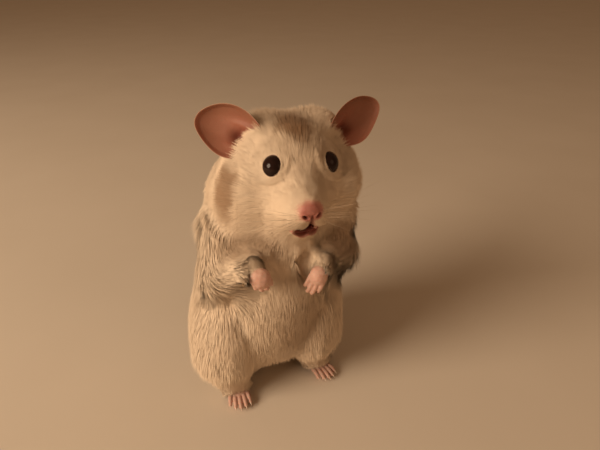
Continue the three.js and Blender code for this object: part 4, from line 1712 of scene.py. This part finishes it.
# %% Tapering tubes
class Tubes:
    """Closed tubes that taper to a point, gathered into one mesh."""

    def __init__(self):
        self.points, self.faces, self.tips, self.count = [], [], [], 0

    def add(self, line, radii, sides):
        """A tube along a bent line, from a flat end to a point."""
        line = np.array(line)
        ways = unit(np.gradient(line, axis=0))
        hint = np.array([0.3, 0.2, 0.93]) if abs(ways[0][2]) < 0.9 else np.array([1.0, 0, 0])
        a = unit(np.cross(ways, hint))
        b = np.cross(ways, a)
        last = len(line) - 1
        for i in range(last):
            for k in range(sides):
                turn = 2 * math.pi * k / sides
                out = a[i] * math.cos(turn) + b[i] * math.sin(turn)
                self.points.append(line[i] + out * radii[i])
        self.points.append(line[last])
        self.tips += [i / last for i in range(last) for _ in range(sides)] + [1.0]
        at = self.count
        self.faces.append([at + k for k in range(sides)])
        for i in range(last):
            for k in range(sides):
                k2 = (k + 1) % sides
                low, high = at + i * sides, at + (i + 1) * sides
                if i == last - 1:
                    self.faces.append([low + k2, low + k, high])
                else:
                    self.faces.append([low + k2, low + k, high + k, high + k2])
        self.count = len(self.points)

    def build(self, name, paint, slot):
        mesh = bpy.data.meshes.new(name)
        mesh.from_pydata([tuple(p) for p in self.points], [], self.faces)
        carry(mesh, "tip", self.tips)
        mesh.shade_smooth()
        mesh.materials.append(paint)
        thing = new_object(name, mesh)
        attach(thing, "root")
        log(name, "has", len(mesh.polygons), "faces")


# %% Claws
CLAW_LONG = {"hand": 1.1 * MM, "foot": 1.7 * MM}
CLAW_RADIUS = 0.30 * MM
CLAW_PINKS = (0.62, 0.36, 0.27), (0.55, 0.30, 0.22)
CLAW_TIP = (0.80, 0.68, 0.56)


def claw_paint():
    paint = Paint("hamster_claw")
    tone = paint.speckle(0.4 * MM, 2)
    base = paint.mix(tone, *CLAW_PINKS)
    colour = paint.mix(paint.told("tip"), base, CLAW_TIP)
    return paint.finish(Base_Color=colour, Roughness=0.35 + tone * 0.1, Coat_Weight=0.2)


def make_claws():
    tubes = Tubes()
    for paw, p in PAWS.items():
        long = CLAW_LONG[paw.split("_")[0]]
        for line in digit_lines(paw, p):
            way = unit(line[-1] - line[-2])
            outer = paw_axes(p)[1]
            start = line[-1] + outer * 0.15 * MM
            steps = np.linspace(0, 1, 6)
            curve = [start + way * long * t + outer * (0.28 * t - 0.5 * t * t) * long for t in steps]
            tubes.add(curve, [CLAW_RADIUS * (1 - 0.75 * t) for t in steps], 8)
    tubes.build("claws", claw_paint(), "pink_skin")


make_claws()


# %% Whiskers
WHISKER_ROWS = 4
WHISKER_TONES = (0.78, 0.64, 0.50), (0.56, 0.42, 0.30)


def whisker_paint():
    paint = Paint("hamster_whisker")
    tone = paint.speckle(2 * MM, 2)
    colour = paint.mix(tone, *WHISKER_TONES)
    return paint.finish(Base_Color=colour, Roughness=0.4 + tone * 0.1)


def skin_tree():
    faces = face_corners(skin.data)
    return BVHTree.FromPolygons([tuple(p) for p in skin_points], faces.tolist())


def make_whiskers():
    tubes, tree = Tubes(), skin_tree()
    up = np.array([0, 0, 1.0])
    for sign in (-1, 1):
        for row in range(WHISKER_ROWS):
            for column in range(3 + row % 2):
                s = midline(-12) + sign * (3.4 + 1.0 * column)
                u = -9.6 - 1.15 * row - 0.25 * column
                start = on_head(s, 30, u)
                root = tree.ray_cast(Vector(start), Vector(-front_axis))[0]
                long = (10 + 3.0 * column + 2 * chance.random()) * MM
                way = sign * side_axis * (0.75 + 0.1 * column) + front_axis * (0.55 - 0.22 * column)
                way = unit(way + up * (0.30 - 0.17 * row + 0.12 * chance.standard_normal()))
                bend = -front_axis * 0.30 - up * 0.10 + sign * side_axis * 0.05
                steps = np.linspace(0, 1, 11)
                curve = [np.array(root) - way * 0.4 * MM + long * (way * t + bend * t * t) for t in steps]
                radius = (0.034 + 0.006 * column) * MM
                tubes.add(curve, [radius * (1 - 0.85 * t) for t in steps], 5)
    tubes.build("whiskers", whisker_paint(), "fur_cream")


make_whiskers()


# %% Sizes
def write_sizes():
    low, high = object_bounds()
    log("the dressed model reaches from", tuple(low), "to", tuple(high))


write_sizes()
